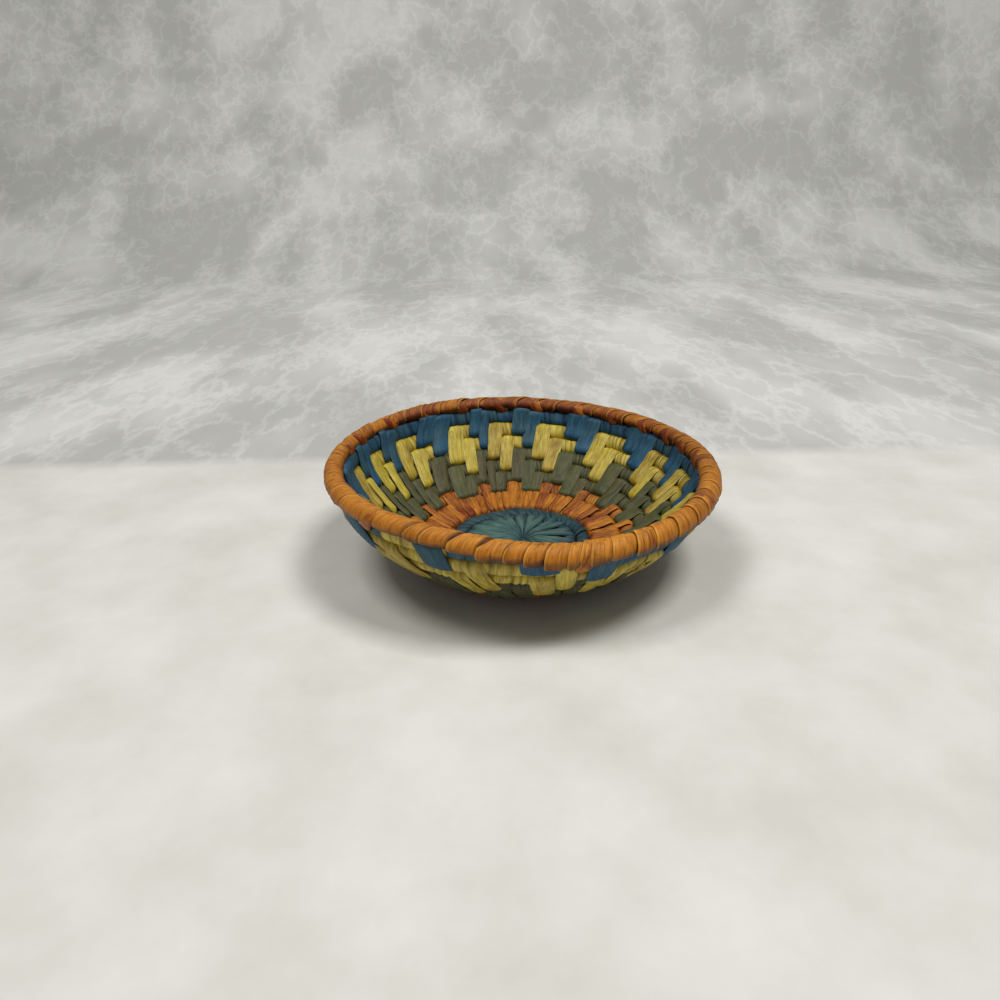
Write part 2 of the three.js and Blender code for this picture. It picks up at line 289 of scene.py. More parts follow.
def upward(share: Array) -> Array:
    """How far a section looks up along the wall at a share of its outline, from -1 to 1."""
    return np.cos(share * math.tau)


def inward(share: Array) -> Array:
    """How far a section looks to the bowl's inner side at a share of its outline, from -1 to 1."""
    return np.sin(share * math.tau)


def even(value: float) -> ShareOf:
    """A value that is the same all the way round a section."""
    return lambda share: np.full_like(share, value)


def on_faces(least: float, gain: float, power: float = 1.0) -> ShareOf:
    """A value that grows from its least, at a section's top and bottom, over both of its faces."""
    return lambda share: least + gain * np.abs(inward(share)) ** power


def leaning(turns: float) -> ShareOf:
    """A lean by some turns, one way at a section's top and the other way at its bottom."""
    return lambda share: turns * upward(share)


@dataclass(frozen=True)
class Band:
    """One pass of splint round the coils, before it is laid on the path.

    Attributes:
        turn: The turn of its middle line, and half_turns half its width there.
        outline: What it is bent round, about middle_rise along the wall and middle_depth into it.
        width_share: Its width round the outline; slant_turns and lift shift it aside and off it.
        crown: How far its edges curve down, times crown_share.
        shingle: How far one edge stands over the other; trailing_drop tucks the far edge in.
        uneven: The depth of its lengthwise folds.
        tone: Its place between the dye's two colours; a darkening below 0 makes the whole band darker.
        worn_and_shaded: How pale it is round the outline, 0 for the darkest colour and 1 for the palest; low
            values paint shade where the band is tucked in, and on the rim high values paint top light.
        edges: How much lighter, or darker below 0, it is at its near edge from lip_from on, and at
            its far edge from edge_from to edge_full: painted highlights on raised lips, painted shade where
                bands meet and overlap, and random tones on long stitches.
        follows_coil: Whether the band climbs with the coil.
        middle_width: Its real width, for the fibres' scale.
    """

    turn: float
    half_turns: float
    outline: Outline
    middle_rise: float
    middle_depth: float
    slant_turns: ShareOf
    crown: float
    tone: float
    worn_and_shaded: ShareOf
    edges: Pair
    middle_width: float
    width_share: ShareOf = even(1.0)
    lift: ShareOf = even(0.0)
    crown_share: ShareOf = even(1.0)
    crown_power: float = 2.4
    shingle: float = 0.0
    trailing_drop: float = 0.0
    uneven: float = 0.0
    darkening: float = 0.0
    edge_from: float = 0.6
    edge_full: float = 1.0
    lip_from: float = 0.6
    follows_coil: bool = True


def show(name: str, data: bpy.types.ID) -> bpy.types.Object:
    """Puts a new object with this data in the scene, and returns it."""
    shown = bpy.data.objects.new(name, data)
    bpy.context.scene.collection.objects.link(shown)
    return shown


def as_piece(mesh: bmesh.types.BMesh, name: str, material: Material, nodes: Sequence[str],
             thickness: float = 0.0) -> None:
    """Turns a bmesh into a smooth piece that rides on the basket.

    Args:
        mesh: The finished bmesh, which is freed.
        name: The piece's name.
        material: Its finish.
        nodes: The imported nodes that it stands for.
        thickness: The thickness to give open sheets.
    """
    for face in mesh.faces:
        face.smooth = True
    data = bpy.data.meshes.new(name)
    mesh.to_mesh(data)
    mesh.free()
    data.materials.append(material)
    piece = show(name, data)
    if thickness > 0.0:
        wall = piece.modifiers.new("splint_thickness", "SOLIDIFY")
        wall.thickness = thickness
        wall.offset = -1.0
        wall.use_rim = True
    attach(piece, "root")
    if nodes:
        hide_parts(*nodes)
    log.info("%s: %d faces", name, len(data.polygons))


@dataclass
class Craft:
    """What each part is made with: the path, the finishes, and random draws in one fixed order."""

    path: CoilPath
    materials: dict[Dye, Material]
    draw: random.Random


class SplintMesh:
    """Gathers bands of splint in one mesh, each a grid bent round its coils."""

    fold_span: Pair = (-1.0, 0.5)
    uv_spread: float = 900.0
    rod_tone: float = 0.5
    rod_worn: float = 0.3

    def __init__(self, craft: Craft) -> None:
        """Starts an empty mesh with the attributes that the finishes read."""
        self.path, self.materials, self.draw = craft.path, craft.materials, craft.draw
        self.mesh = bmesh.new()
        self.uv = self.mesh.loops.layers.uv.new("UVMap")
        self.tone, self.worn_and_shaded, self.edge = (
            self.mesh.verts.layers.float.new(name) for name in ("tone", "worn_and_shaded", "edge")
        )

    def grid(self, across: int, around: int) -> list[bmesh.types.BMVert]:
        """Adds a flat grid from -1 to 1 with this many faces each way, and returns its vertices."""
        return bmesh.ops.create_grid(
            self.mesh, x_segments=across, y_segments=around, size=1.0, calc_uvs=True
        )["verts"]

    def lay(self, band: Band, faces: Faces) -> None:
        """Lays one band.

        Args:
            band: The band.
            faces: How many faces it has over its width and round its length.
        """
        across = faces[0]
        grid = self.grid(*faces)
        flat = np.array([(vert.co.x, vert.co.y) for vert in grid])
        side, share = flat[:, 0], (flat[:, 1] + 1.0) / 2.0
        rise, depth, rise_out, depth_out = band.outline.at(share)
        folds = np.array([self.draw.uniform(*self.fold_span) * band.uneven for _ in range(across + 1)])
        fold = folds[np.round((side + 1.0) / 2.0 * across).astype(int)]
        crowned = band.crown * band.crown_share(share) * np.abs(side) ** band.crown_power
        raised = band.lift(share) - crowned - band.shingle * (side - 1.0) / 2.0 + fold
        raised = raised - band.trailing_drop * smooth_step(side, band.edge_from, 1.0)
        turn = band.turn + side * band.half_turns * band.width_share(share) + band.slant_turns(share)
        base = self.path.pitch * (turn if band.follows_coil else band.turn)
        along = base + band.middle_rise + rise + rise_out * raised
        points = self.path.place(turn, along, band.middle_depth + depth + depth_out * raised)
        near = band.darkening + band.edges[0] * smooth_step(-side, band.lip_from, 1.0)
        edges = near + band.edges[1] * smooth_step(side, band.edge_from, band.edge_full)
        for vert, point, edge, wear_and_shade in zip(grid, points, edges, band.worn_and_shaded(share)):
            vert.co = point
            vert[self.tone] = band.tone
            vert[self.worn_and_shaded] = wear_and_shade
            vert[self.edge] = edge
        self._scale_uv(grid, band)

    def _scale_uv(self, grid: list[bmesh.types.BMVert], band: Band) -> None:
        """Turns the grid's unit UV map into millimetres, from a place of the band's own."""
        start = [self.draw.uniform(0.0, self.uv_spread) for _ in range(2)]
        wide, long = band.middle_width / MM, band.outline.length / MM
        for face in {face for vert in grid for face in vert.link_faces}:
            for loop in face.loops:
                place = loop[self.uv].uv
                loop[self.uv].uv = (start[0] + place.x * wide, start[1] + place.y * long)

    def rod(self, turns: Array, section: SectionOf) -> None:
        """Lays one closed rod along the coil.

        Args:
            turns: The turns of its stations.
            section: Gives the points of a section from the section's angles and its turn.
        """
        for vert in self.grid(ROD_SIDES, len(turns) - 1):
            station = round((vert.co.y + 1.0) / 2.0 * (len(turns) - 1))
            vert.co = section(np.array([(vert.co.x + 1.0) * math.pi]), turns[station])[0]
            vert[self.tone] = self.rod_tone
            vert[self.worn_and_shaded] = self.rod_worn

    def finish(self, name: str, dye: Dye, nodes: Sequence[str], thickness: float = 0.0,
               looks: Dye | None = None) -> None:
        """Closes the bands and makes them one piece of the object.

        Args:
            name: The piece's name.
            dye: Its slot in the record.
            nodes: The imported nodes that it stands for.
            thickness: The splint's thickness, or 0 for solid rods.
            looks: The dye whose finish it has, if it isn't its slot's.
        """
        bmesh.ops.remove_doubles(self.mesh, verts=self.mesh.verts[:], dist=MM / 1000.0)
        edges = [item for item in self.mesh.edges if item.is_boundary]
        if thickness == 0.0:
            bmesh.ops.holes_fill(self.mesh, edges=edges)
            bmesh.ops.recalc_face_normals(self.mesh, faces=self.mesh.faces[:])
        for item in edges:
            item.smooth = False
        as_piece(self.mesh, name, self.materials[looks or dye], nodes, thickness)


def paint(red: float, green: float, blue: float) -> Colour:
    """A colour as it is seen on a screen, from 0 to 255, as Blender's linear colour."""
    def linear(value: float) -> float:
        """One channel, by the screen's own curve."""
        share = value / 255.0
        return share / 12.92 if share <= 0.04045 else ((share + 0.055) / 1.055) ** 2.4
    return linear(red), linear(green), linear(blue), 1.0


class NodeSheet:
    """Adds shader nodes to a tree, with each input as a value or a link."""

    def __init__(self, tree: bpy.types.NodeTree) -> None:
        """Takes the tree to fill."""
        self.tree = tree

    @classmethod
    def of_material(cls, name: str) -> tuple[Material, "NodeSheet"]:
        """Starts a material without nodes, and returns it with its sheet."""
        made = bpy.data.materials.new(name)
        made.use_nodes = True
        made.node_tree.nodes.clear()
        return made, cls(made.node_tree)

    def add(self, kind: str, inputs: Inputs | None = None, **settings: object) -> bpy.types.Node:
        """Adds one node.

        Args:
            kind: The node's type.
            inputs: Values or output sockets, by the input's name or number.
            settings: The node's own properties.

        Returns:
            The new node.
        """
        node = self.tree.nodes.new(kind)
        for key, value in settings.items():
            setattr(node, key, value)
        for key, value in (inputs or {}).items():
            if isinstance(value, Socket):
                self.tree.links.new(value, node.inputs[key])
            else:
                node.inputs[key].default_value = value
        return node

    def mix(self, share: object, first: object, second: object, blend: str = "MIX") -> Socket:
        """Mixes two colours and returns the result's socket."""
        inputs = {0: share, 6: first, 7: second}
        return self.add("ShaderNodeMix", inputs, data_type="RGBA", blend_type=blend).outputs[2]

    def math(self, operation: str, *values: object, clamp: bool = False) -> Socket:
        """Works out one number and returns its socket."""
        node = self.add("ShaderNodeMath", dict(enumerate(values)), operation=operation, use_clamp=clamp)
        return node.outputs[0]

    def scaled(self, vector: object, by: object) -> Socket:
        """A vector times another one, part by part."""
        return self.add("ShaderNodeVectorMath", {0: vector, 1: by}, operation="MULTIPLY").outputs[0]

    def span(self, value: object, low: float, high: float,
             to_low: float = 0.0, to_high: float = 1.0) -> Socket:
        """Maps a number from one span to another, held at both ends."""
        inputs = {"Value": value, "From Min": low, "From Max": high, "To Min": to_low, "To Max": to_high}
        return self.add("ShaderNodeMapRange", inputs, clamp=True).outputs["Result"]

    def noise(self, vector: object, scale: float, detail: float, roughness: float = 0.5) -> Socket:
        """A noise from 0 to 1."""
        inputs = {"Vector": vector, "Scale": scale, "Detail": detail, "Roughness": roughness}
        return self.add("ShaderNodeTexNoise", inputs).outputs["Fac"]

    def cracks(self, vector: object, scale: float, detail: float, roughness: float = 0.5) -> Socket:
        """How far a noise is from its middle value, which is 0 along thin winding lines."""
        centred = self.math("SUBTRACT", self.noise(vector, scale, detail, roughness), 0.5)
        return self.math("ABSOLUTE", centred)

    def group(self, tree: bpy.types.NodeTree, inputs: Inputs) -> bpy.types.Node:
        """Adds a node for a group, which gets its tree before its inputs are set."""
        return self.add("ShaderNodeGroup", inputs, node_tree=tree)

    def surface(self, inputs: Inputs) -> None:
        """Ends a material in a Principled BSDF with these inputs."""
        shader = self.add("ShaderNodeBsdfPrincipled", inputs)
        self.add("ShaderNodeOutputMaterial", {"Surface": shader.outputs["BSDF"]})


def new_group(name: str, inputs: dict[str, object], outputs: Sequence[str]) -> bpy.types.NodeTree:
    """Starts a shader node group.

    Args:
        name: Its name.
        inputs: The default of each input, a number or a colour.
        outputs: The name of each output, a colour if that is Color and else a number.

    Returns:
        The group's tree, without nodes.
    """
    tree = bpy.data.node_groups.new(name, "ShaderNodeTree")
    for key, default in inputs.items():
        kind = "NodeSocketFloat" if isinstance(default, float) else "NodeSocketColor"
        tree.interface.new_socket(key, in_out="INPUT", socket_type=kind).default_value = default
    for key in outputs:
        kind = "NodeSocketColor" if key == "Color" else "NodeSocketFloat"
        tree.interface.new_socket(key, in_out="OUTPUT", socket_type=kind)
    return tree


def splint_fibre_group() -> bpy.types.NodeTree:
    """Fibres that run along a splint: streaks of light and dark, fine splits, and their relief.

    Returns:
        The group, with outputs Streak, Split and Height.
    """
    tree = new_group("splint_fibres", {"Across": 3.0, "Along": 0.22}, ("Streak", "Split", "Height"))
    sheet = NodeSheet(tree)
    given = sheet.add("NodeGroupInput").outputs
    place = sheet.add("ShaderNodeUVMap", uv_map="UVMap").outputs["UV"]
    scale = sheet.add("ShaderNodeCombineXYZ", {"X": given["Across"], "Y": given["Along"], "Z": 1.0})
    stretched = sheet.scaled(place, scale.outputs[0])
    fine = sheet.noise(stretched, 1.0, 3.0, 0.6)
    broad = sheet.noise(stretched, 0.27, 1.0, 0.5)
    streak = sheet.math("ADD", sheet.math("MULTIPLY", fine, 0.65), sheet.math("MULTIPLY", broad, 0.35))
    cracks = sheet.cracks(sheet.scaled(place, (0.75, 0.05, 1.0)), 1.0, 1.0)
    split = sheet.span(cracks, 0.003, 0.022, 1.0, 0.0)
    relief = sheet.math("ADD", sheet.span(fine, 0.3, 0.7), sheet.math("MULTIPLY", broad, 2.2))
    relief = sheet.math("SUBTRACT", relief, sheet.math("MULTIPLY", split, 1.2))
    sheet.add("NodeGroupOutput", {"Streak": streak, "Split": split, "Height": relief})
    return tree


def dye_wear_and_painted_light_group() -> bpy.types.NodeTree:
    """How dye sits on a splint: darker where it is tucked in, which is painted shade, and paler where it
    stands proud from rubbing, with painted top light on the rim.

    Returns:
        The group, with outputs Color and Dust And Painted Light.
    """
    grey = (0.5, 0.5, 0.5, 1.0)
    colours = {name: grey for name in ("Main", "Second", "Deep And Shade", "Faded And Lit")}
    shares = {"Streak": 0.5, "Split": 0.0, "Second Share": 0.5, "Fade Share": 0.5}
    tree = new_group("dye_wear_and_painted_light", colours | shares, ("Color", "Dust And Painted Light"))
    sheet = NodeSheet(tree)
    given = sheet.add("NodeGroupInput").outputs
    place = sheet.add("ShaderNodeTexCoord").outputs["Object"]
    patches = sheet.noise(place, 170.0, 2.0, 0.6)
    speckle = sheet.noise(place, 1400.0, 2.0, 0.7)
    worn_and_shaded, tone, edge = (
        sheet.add("ShaderNodeAttribute", attribute_name=name).outputs["Fac"]
        for name in ("worn_and_shaded", "tone", "edge")
    )
    # The second colour comes in patches and along dark streaks.
    mottle = sheet.math("ADD", tone, sheet.span(patches, 0.3, 0.7, -0.35, 0.35))
    mottle = sheet.math("ADD", mottle, sheet.span(given["Streak"], 0.35, 0.65, 0.3, -0.3))
    second = sheet.math("MULTIPLY", sheet.span(mottle, 0.35, 0.95), given["Second Share"], clamp=True)
    colour = sheet.mix(second, given["Main"], given["Second"])
    # Dye fades where the splint is rubbed, and on the rim's top this paler colour is painted top light;
    # where it is tucked in, painted shade darkens it to the deep colour.
    fade_and_painted_light = sheet.math("ADD", worn_and_shaded, sheet.span(given["Streak"], 0.35, 0.65, -0.3, 0.3))
    fade_and_painted_light = sheet.math("ADD", fade_and_painted_light, sheet.span(patches, 0.35, 0.65, -0.2, 0.2))
    dust_and_painted_light = sheet.math("MULTIPLY", sheet.span(fade_and_painted_light, 0.25, 1.1), given["Fade Share"], clamp=True)
    colour = sheet.mix(dust_and_painted_light, colour, given["Faded And Lit"])
    # Painted shade: a low value, in grooves and where splints dive in, mixes in the deep colour.
    tucked = sheet.span(sheet.math("SUBTRACT", worn_and_shaded, sheet.span(patches, 0.3, 0.7, -0.1, 0.1)), 0.32, 0.0)
    colour = sheet.mix(sheet.math("MULTIPLY", tucked, 0.85), colour, given["Deep And Shade"])
    # Edges are lighter above 0 and darker below it, and splits are dark: light rim lips are painted
    # highlights, dark edges of passes, petals and shingled wraps are painted shade, and long stitches get
    # random edge tones.
    colour = sheet.mix(sheet.math("MULTIPLY", edge, 1.0, clamp=True), colour, given["Faded And Lit"])
    colour = sheet.mix(sheet.math("MULTIPLY", edge, -1.0, clamp=True), colour, given["Deep And Shade"])
    colour = sheet.mix(sheet.math("MULTIPLY", given["Split"], 0.4), colour, given["Deep And Shade"])
    streaks = sheet.span(given["Streak"], 0.3, 0.7, 0.66, 1.28)
    light = sheet.math("ADD", streaks, sheet.span(speckle, 0.3, 0.7, -0.08, 0.08))
    bright = sheet.add("ShaderNodeCombineXYZ", {"X": light, "Y": light, "Z": light}).outputs[0]
    sheet.add("NodeGroupOutput", {"Color": sheet.mix(1.0, colour, bright, "MULTIPLY"), "Dust And Painted Light": dust_and_painted_light})
    return tree


@dataclass(frozen=True)
class SplintFinish:
    """The look of one dye on splint: its colours, whose dark one also paints shade and whose pale one also
    paints highlights, how far it fades, and its relief.
    """

    dye: Dye
    main: Colour
    second: Colour
    deep_and_shade: Colour
    faded_and_lit: Colour
    second_share: float = 0.8
    fade_share: float = 0.5
    roughness: Pair = (0.5, 0.78)
    dust_full: float = 0.7
    relief: float = 0.35
    relief_depth: float = 0.12 * MM
    specular: float = 0.28
    across: float = 1.5

    def material(self, fibres: bpy.types.NodeTree, wear_and_shade: bpy.types.NodeTree) -> Material:
        """Builds the finish.

        Args:
            fibres: The shared group of fibres.
            wear_and_shade: The shared group of dye, rubbing, and painted light and shade.

        Returns:
            The material.
        """
        made, sheet = NodeSheet.of_material(self.dye.value)
        grain = sheet.group(fibres, {"Across": self.across})
        dyed = sheet.group(wear_and_shade, {
            "Main": self.main, "Second": self.second, "Deep And Shade": self.deep_and_shade, "Faded And Lit": self.faded_and_lit,
            "Streak": grain.outputs["Streak"], "Split": grain.outputs["Split"],
            "Second Share": self.second_share, "Fade Share": self.fade_share,
        })
        bump = sheet.add("ShaderNodeBump", {
            "Height": grain.outputs["Height"], "Strength": self.relief, "Distance": self.relief_depth,
        })
        sheet.surface({
            "Base Color": dyed.outputs["Color"],
            "Roughness": sheet.span(dyed.outputs["Dust And Painted Light"], 0.0, self.dust_full, *self.roughness),
            "Normal": bump.outputs["Normal"],
            "Specular IOR Level": self.specular,
        })
        return made


FINISHES: tuple[SplintFinish, ...] = (
    SplintFinish(Dye.GRASS, paint(92, 72, 42), paint(74, 58, 34), paint(30, 22, 14), paint(140, 120, 78)),
    SplintFinish(Dye.TEAL, paint(44, 78, 84), paint(34, 62, 74), paint(8, 24, 32), paint(98, 128, 110)),
    SplintFinish(Dye.ORANGE, paint(168, 98, 20), paint(122, 46, 10), paint(54, 18, 4), paint(194, 138, 50),
                 second_share=1.0, fade_share=0.4),
    SplintFinish(Dye.GREY_GREEN, paint(70, 74, 44), paint(70, 64, 38), paint(20, 20, 8), paint(106, 102, 66),
                 fade_share=0.45),
    SplintFinish(Dye.YELLOW, paint(180, 160, 44), paint(146, 116, 34), paint(108, 88, 6),
                 paint(208, 192, 112), fade_share=0.58),
    SplintFinish(Dye.BLUE, paint(28, 76, 106), paint(38, 74, 84), paint(4, 16, 38), paint(76, 112, 120),
                 fade_share=0.4),
    SplintFinish(Dye.RIM, paint(182, 110, 20), paint(122, 46, 10), paint(50, 14, 2), paint(208, 150, 60),
                 second_share=1.0, fade_share=0.35, relief=0.4),
)


@dataclass
class Splints(Craft):
    """The bands that wrap and stitch the wall, one piece for each length of splint."""

    thickness: float = 0.3 * MM
    lengths_per_turn: int = 2
    wrap_faces: Faces = (4, 18)
    stitch_faces: Faces = (8, 40)
    short_stitch_faces: Faces = (8, 32)
    coil_half_height: float = 2.7 * MM
    coil_half_width: float = 1.9 * MM
    coil_squareness: float = 2.2
    wrap_lean: float = 0.35 * MM
    wrap_overlap: Pair = (1.06, 1.2)
    bare_swell: float = 0.16 * MM
    covered_sink: float = 0.12 * MM
    stitch_ride: float = 0.85 * MM
    stitch_slack: float = 0.12 * MM
    stitch_sink: float = 0.08 * MM
    orange_ride: float = 0.26 * MM
    end_squareness: float = 0.72
    edge_tones: Row = (-0.4, 0.15, 0.35)
    rim_stitch_shift: float = -0.3
    blue_stitch_shift: float = -0.15
    yellow_again: Pair = (13.848, 13.9)
    coil_ends: float = 13.985
    rim_sinks_from: float = 14.78
    rim_sinks_to: float = 15.05
    most_tuck: float = 1.1 * MM
    rim_room: float = 3.6 * MM
    wrap_room: float = 1.4 * MM
    front_deg: Pair = (226.0, 302.5)
    front_stitches: tuple[Row, ...] = (
        (245.0, 1.9, 1.3), (273.0, 1.72, 1.9), (289.0, 2.0, 1.5),
    )

    def build(self) -> None:
        """Builds the coloured bands of the wall in the order that they were sewn."""
        path = self.path
        dyes = (Dye.ORANGE, Dye.GREY_GREEN, Dye.YELLOW, Dye.BLUE)
        turns = (path.border_turns, path.orange_turns, path.grey_turns, path.yellow_turns, path.blue_turns)
        for dye, first, end in zip(dyes, turns, turns[1:]):
            for number in range(round((end - first) * self.lengths_per_turn)):
                start = first + number / self.lengths_per_turn
                node = f"{dye.value}_{number + 1}"
                self.one_length(dye, node, start, start + 1.0 / self.lengths_per_turn)

    def slots_between(self, start: float, end: float) -> range:
        """The slots whose middles lie between two turns."""
        return range(*(math.ceil(turn * self.path.slots - 0.5) for turn in (start, end)))

    def one_length(self, dye: Dye, node: str, start: float, end: float) -> None:
        """Builds one length of splint, with all its wraps and long stitches.

        Args:
            dye: Its colour.
            node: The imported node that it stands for.
            start: The turn where it starts.
            end: The turn where it ends.
        """
        mesh = SplintMesh(self)
        slots = self.path.slots
        is_blue = dye is Dye.BLUE
        for slot in self.slots_between(start, end):
            turn = (slot + 0.5) / slots
            wrapping = Wrapping(slot % len(Wrapping))
            if self.yellow_again[0] < turn < self.yellow_again[1] or turn > self.coil_ends:
                continue
            if self.is_stitched(turn, wrapping) and not (is_blue and self.is_front(turn)):
                shift = self.blue_stitch_shift / slots if is_blue else 0.0
                self.wrap_slot(mesh, turn, Wrapping.UNDER_NEXT_ROW)
                mesh.lay(self.long_stitch(turn + shift, self.reach(turn)), self.stitch_faces)
            else:
                self.wrap_slot(mesh, turn, wrapping)
        if is_blue:
            self.stitches_from_rim(mesh, start, end)
        if dye is Dye.YELLOW and end == self.path.yellow_turns:
            for slot in self.slots_between(*self.yellow_again):
                self.wrap_slot(mesh, (slot + 0.5) / slots, Wrapping.BARE)
        mesh.finish(f"{node}_wound", dye, [node], self.thickness)

    def is_front(self, turn: float) -> bool:
        """Whether a turn lies in front, where the blue stitches that show were placed one by one."""
        return self.front_deg[0] < self.path.degrees_at(turn) < self.front_deg[1]

    def reach(self, turn: float) -> int:
        """How many coils a long stitch that starts on this turn holds."""
        path = self.path
        starts_dye = turn < path.border_turns + 2.0 or path.orange_turns < turn < path.orange_turns + 1.0
        return 2 if starts_dye else 3

    def is_stitched(self, turn: float, wrapping: Wrapping) -> bool:
        """Whether a slot has a long stitch: every fourth, and nearly all on the second orange coil."""
        if turn < self.path.border_turns + 1.0:
            return False
        if turn < self.path.border_turns + 2.0:
            return wrapping is not Wrapping.UNDER_NEXT_ROW
        return wrapping is Wrapping.LONG_STITCH

    def side(self, turn: float) -> float:
        """How far to the right of the bowl a turn lies, from -1 to 1."""
        return math.cos(float(self.path.angle(turn)))

    def tuck(self, turn: float) -> float:
        """How far a stitch can reach up and stay inside the rim, which sinks to close its ring."""
        sunk = self.path.pitch * smooth_step(turn + 1.0, self.rim_sinks_from, self.rim_sinks_to)
        return min(self.most_tuck, self.path.pitch - float(sunk) - self.rim_room)

    def wrap_slot(self, mesh: SplintMesh, turn: float, wrapping: Wrapping) -> None:
        """Wraps one slot: a few narrow passes where they show, and one where a stitch covers them.

        Args:
            mesh: The mesh that takes the bands.
            turn: The slot's middle.
            wrapping: What lies over the slot.
        """
        draw = self.draw
        half_slot = 0.5 / self.path.slots
        sunk = max(0.0, -self.wrap_room - self.tuck(turn))
        bare = wrapping is Wrapping.BARE
        narrow = self.side(turn) > 0.35
        passes = draw.choice((3, 4, 4) if narrow else (1, 2, 3)) if bare else 1
        tone = draw.random()
        for number in range(passes):
            half = half_slot / passes * draw.uniform(*self.wrap_overlap)
            swell = draw.uniform(0.0, 1.0) * self.bare_swell if bare else -self.covered_sink
            mesh.lay(Band(
                turn=turn + half_slot * (2.0 * (number + 0.5) / passes - 1.0), half_turns=half,
                outline=Outline.oval(self.coil_half_height, self.coil_half_width, self.coil_squareness),
                middle_rise=-sunk, middle_depth=self.path.wall / 2.0,
                slant_turns=leaning(self.path.turns_for(self.wrap_lean, turn)), lift=on_faces(0.0, swell),
                crown=(0.36 if passes > 1 else 0.3) * MM, crown_share=on_faces(0.12, 0.88),
                shingle=0.12 * MM, tone=min(1.0, max(0.0, tone + draw.uniform(-0.15, 0.15))),
                # Painted shade: the low value at the coil's top and bottom darkens passes in the grooves
                # between coils, and both edges of each pass are painted darker as shade between passes.
                worn_and_shaded=on_faces(0.04, 0.75, 1.8), edges=(-0.75, -0.75),
                middle_width=half * math.tau * self.path.radius(turn) * 2.0,
            ), self.wrap_faces)

    def long_stitch(self, turn: float, reach: float, tucked: float = 0.0, slots_wide: float = 0.0) -> Band:
        """One long stitch round its own coil and older ones.

        Args:
            turn: Its turn.
            reach: How many coils it holds.
            tucked: How much further its top reaches, under the rim.
            slots_wide: Its width in slots, or 0 for one as uneven as its neighbours.

        Returns:
            The band.
        """
        path, draw = self.path, self.draw
        span = path.pitch * (reach - 1)
        half_long = (span + tucked) / 2.0 + self.coil_half_height + self.stitch_slack
        half_thick = self.coil_half_width + self.stitch_ride + draw.uniform(-0.06, 0.1) * MM
        outline = self.stitch_outline(half_long, half_thick, (span - tucked) / 2.0)
        slot = 1.0 / path.slots
        side = self.side(turn)
        slant = (2.4 - 2.6 * side + draw.uniform(-1.0, 1.0)) * (0.5 if slots_wide else 1.0) / 360.0
        if turn < path.border_turns + 2.0:
            width = draw.uniform(0.95, 1.12)
        else:
            width = slots_wide or draw.uniform(1.02, 1.3) - 0.14 * max(side, 0.0)
        ends = draw.uniform(0.5, 0.7)
        pulled = draw.uniform(-0.25, 0.25)

        def narrowing(share: Array) -> Array:
            """Full width over both faces, gathered only where the stitch dives in at its bottom."""
            return ends + (1.0 - ends) * smooth_step(upward(share), -1.0, -0.86) ** 0.7

        def slanting(share: Array) -> Array:
            """Leans the stitch, its bottom ahead of its top and gathered a little to one side."""
            return -slant * 0.5 * upward(share) + slot * pulled * (1.0 - narrowing(share))

        def wear_and_shade_at(share: Array) -> Array:
            """Palest over the upper middle of each face from rubbing, and lowest where it dives in, which
            paints shade there.
            """
            return 0.06 + 0.78 * np.abs(inward(share)) ** 0.6 * (0.74 + 0.26 * upward(share))

        return Band(
            turn=turn, half_turns=slot * width / 2.0, outline=outline, middle_rise=-(span - tucked) / 2.0,
            middle_depth=path.wall / 2.0 - (self.orange_ride if turn < path.orange_turns else 0.0),
            width_share=narrowing, slant_turns=slanting, crown=draw.uniform(0.4, 0.62) * MM,
            uneven=0.09 * MM, tone=draw.random(), worn_and_shaded=wear_and_shade_at,
            edges=(draw.choice(self.edge_tones), draw.choice(self.edge_tones)),
            middle_width=slot * width * math.tau * path.radius(turn - 1.0),
        )

    def stitch_outline(self, half_long: float, half_thick: float, first_coil: float) -> Outline:
        """The outline of a long stitch, which sinks a little between the coils that it holds.

        Args:
            half_long: Half its length.
            half_thick: Half its thickness through the wall.
            first_coil: How far the first coil's middle is above the outline's.

        Returns:
            The closed outline, from its top down the inner face.
        """
        bend_rise = self.end_squareness * half_thick
        straight = np.linspace(half_long - bend_rise, bend_rise - half_long, 40)
        bend = np.linspace(0.0, math.pi, 16)[1:-1]
        sink = self.stitch_sink * (0.5 - 0.5 * np.cos((straight - first_coil) / self.path.pitch * math.tau))
        inner = -(half_thick - sink)
        low, high = straight[-1] - bend_rise * np.sin(bend), straight[0] + bend_rise * np.sin(bend)
        rise = (straight, low, straight[::-1], high)
        depth = (inner, -half_thick * np.cos(bend), -inner[::-1], half_thick * np.cos(bend))
        return Outline.from_top(rise, depth, len(bend) // 2)

    def stitches_from_rim(self, mesh: SplintMesh, start: float, end: float) -> None:
        """Adds the blue stitches that come out from under the rim.

        Args:
            mesh: The mesh that takes the bands.
            start: The turn where this length of splint starts.
            end: The turn where it ends.
        """
        slots = self.path.slots
        for slot in range(round(start * slots), round(end * slots)):
            above = Wrapping((slot + slots) % len(Wrapping))
            turn = (slot + 0.5 + self.rim_stitch_shift) / slots
            if above is Wrapping.LONG_STITCH and not self.is_front(turn):
                mesh.lay(self.long_stitch(turn, 2, self.tuck(turn)), self.short_stitch_faces)
        for angle, reach, wide in self.front_stitches:
            turn = self.path.turn_near(angle, self.path.yellow_turns)
            if start <= turn < end:
                mesh.lay(self.long_stitch(turn, reach, self.tuck(turn), wide), self.short_stitch_faces)


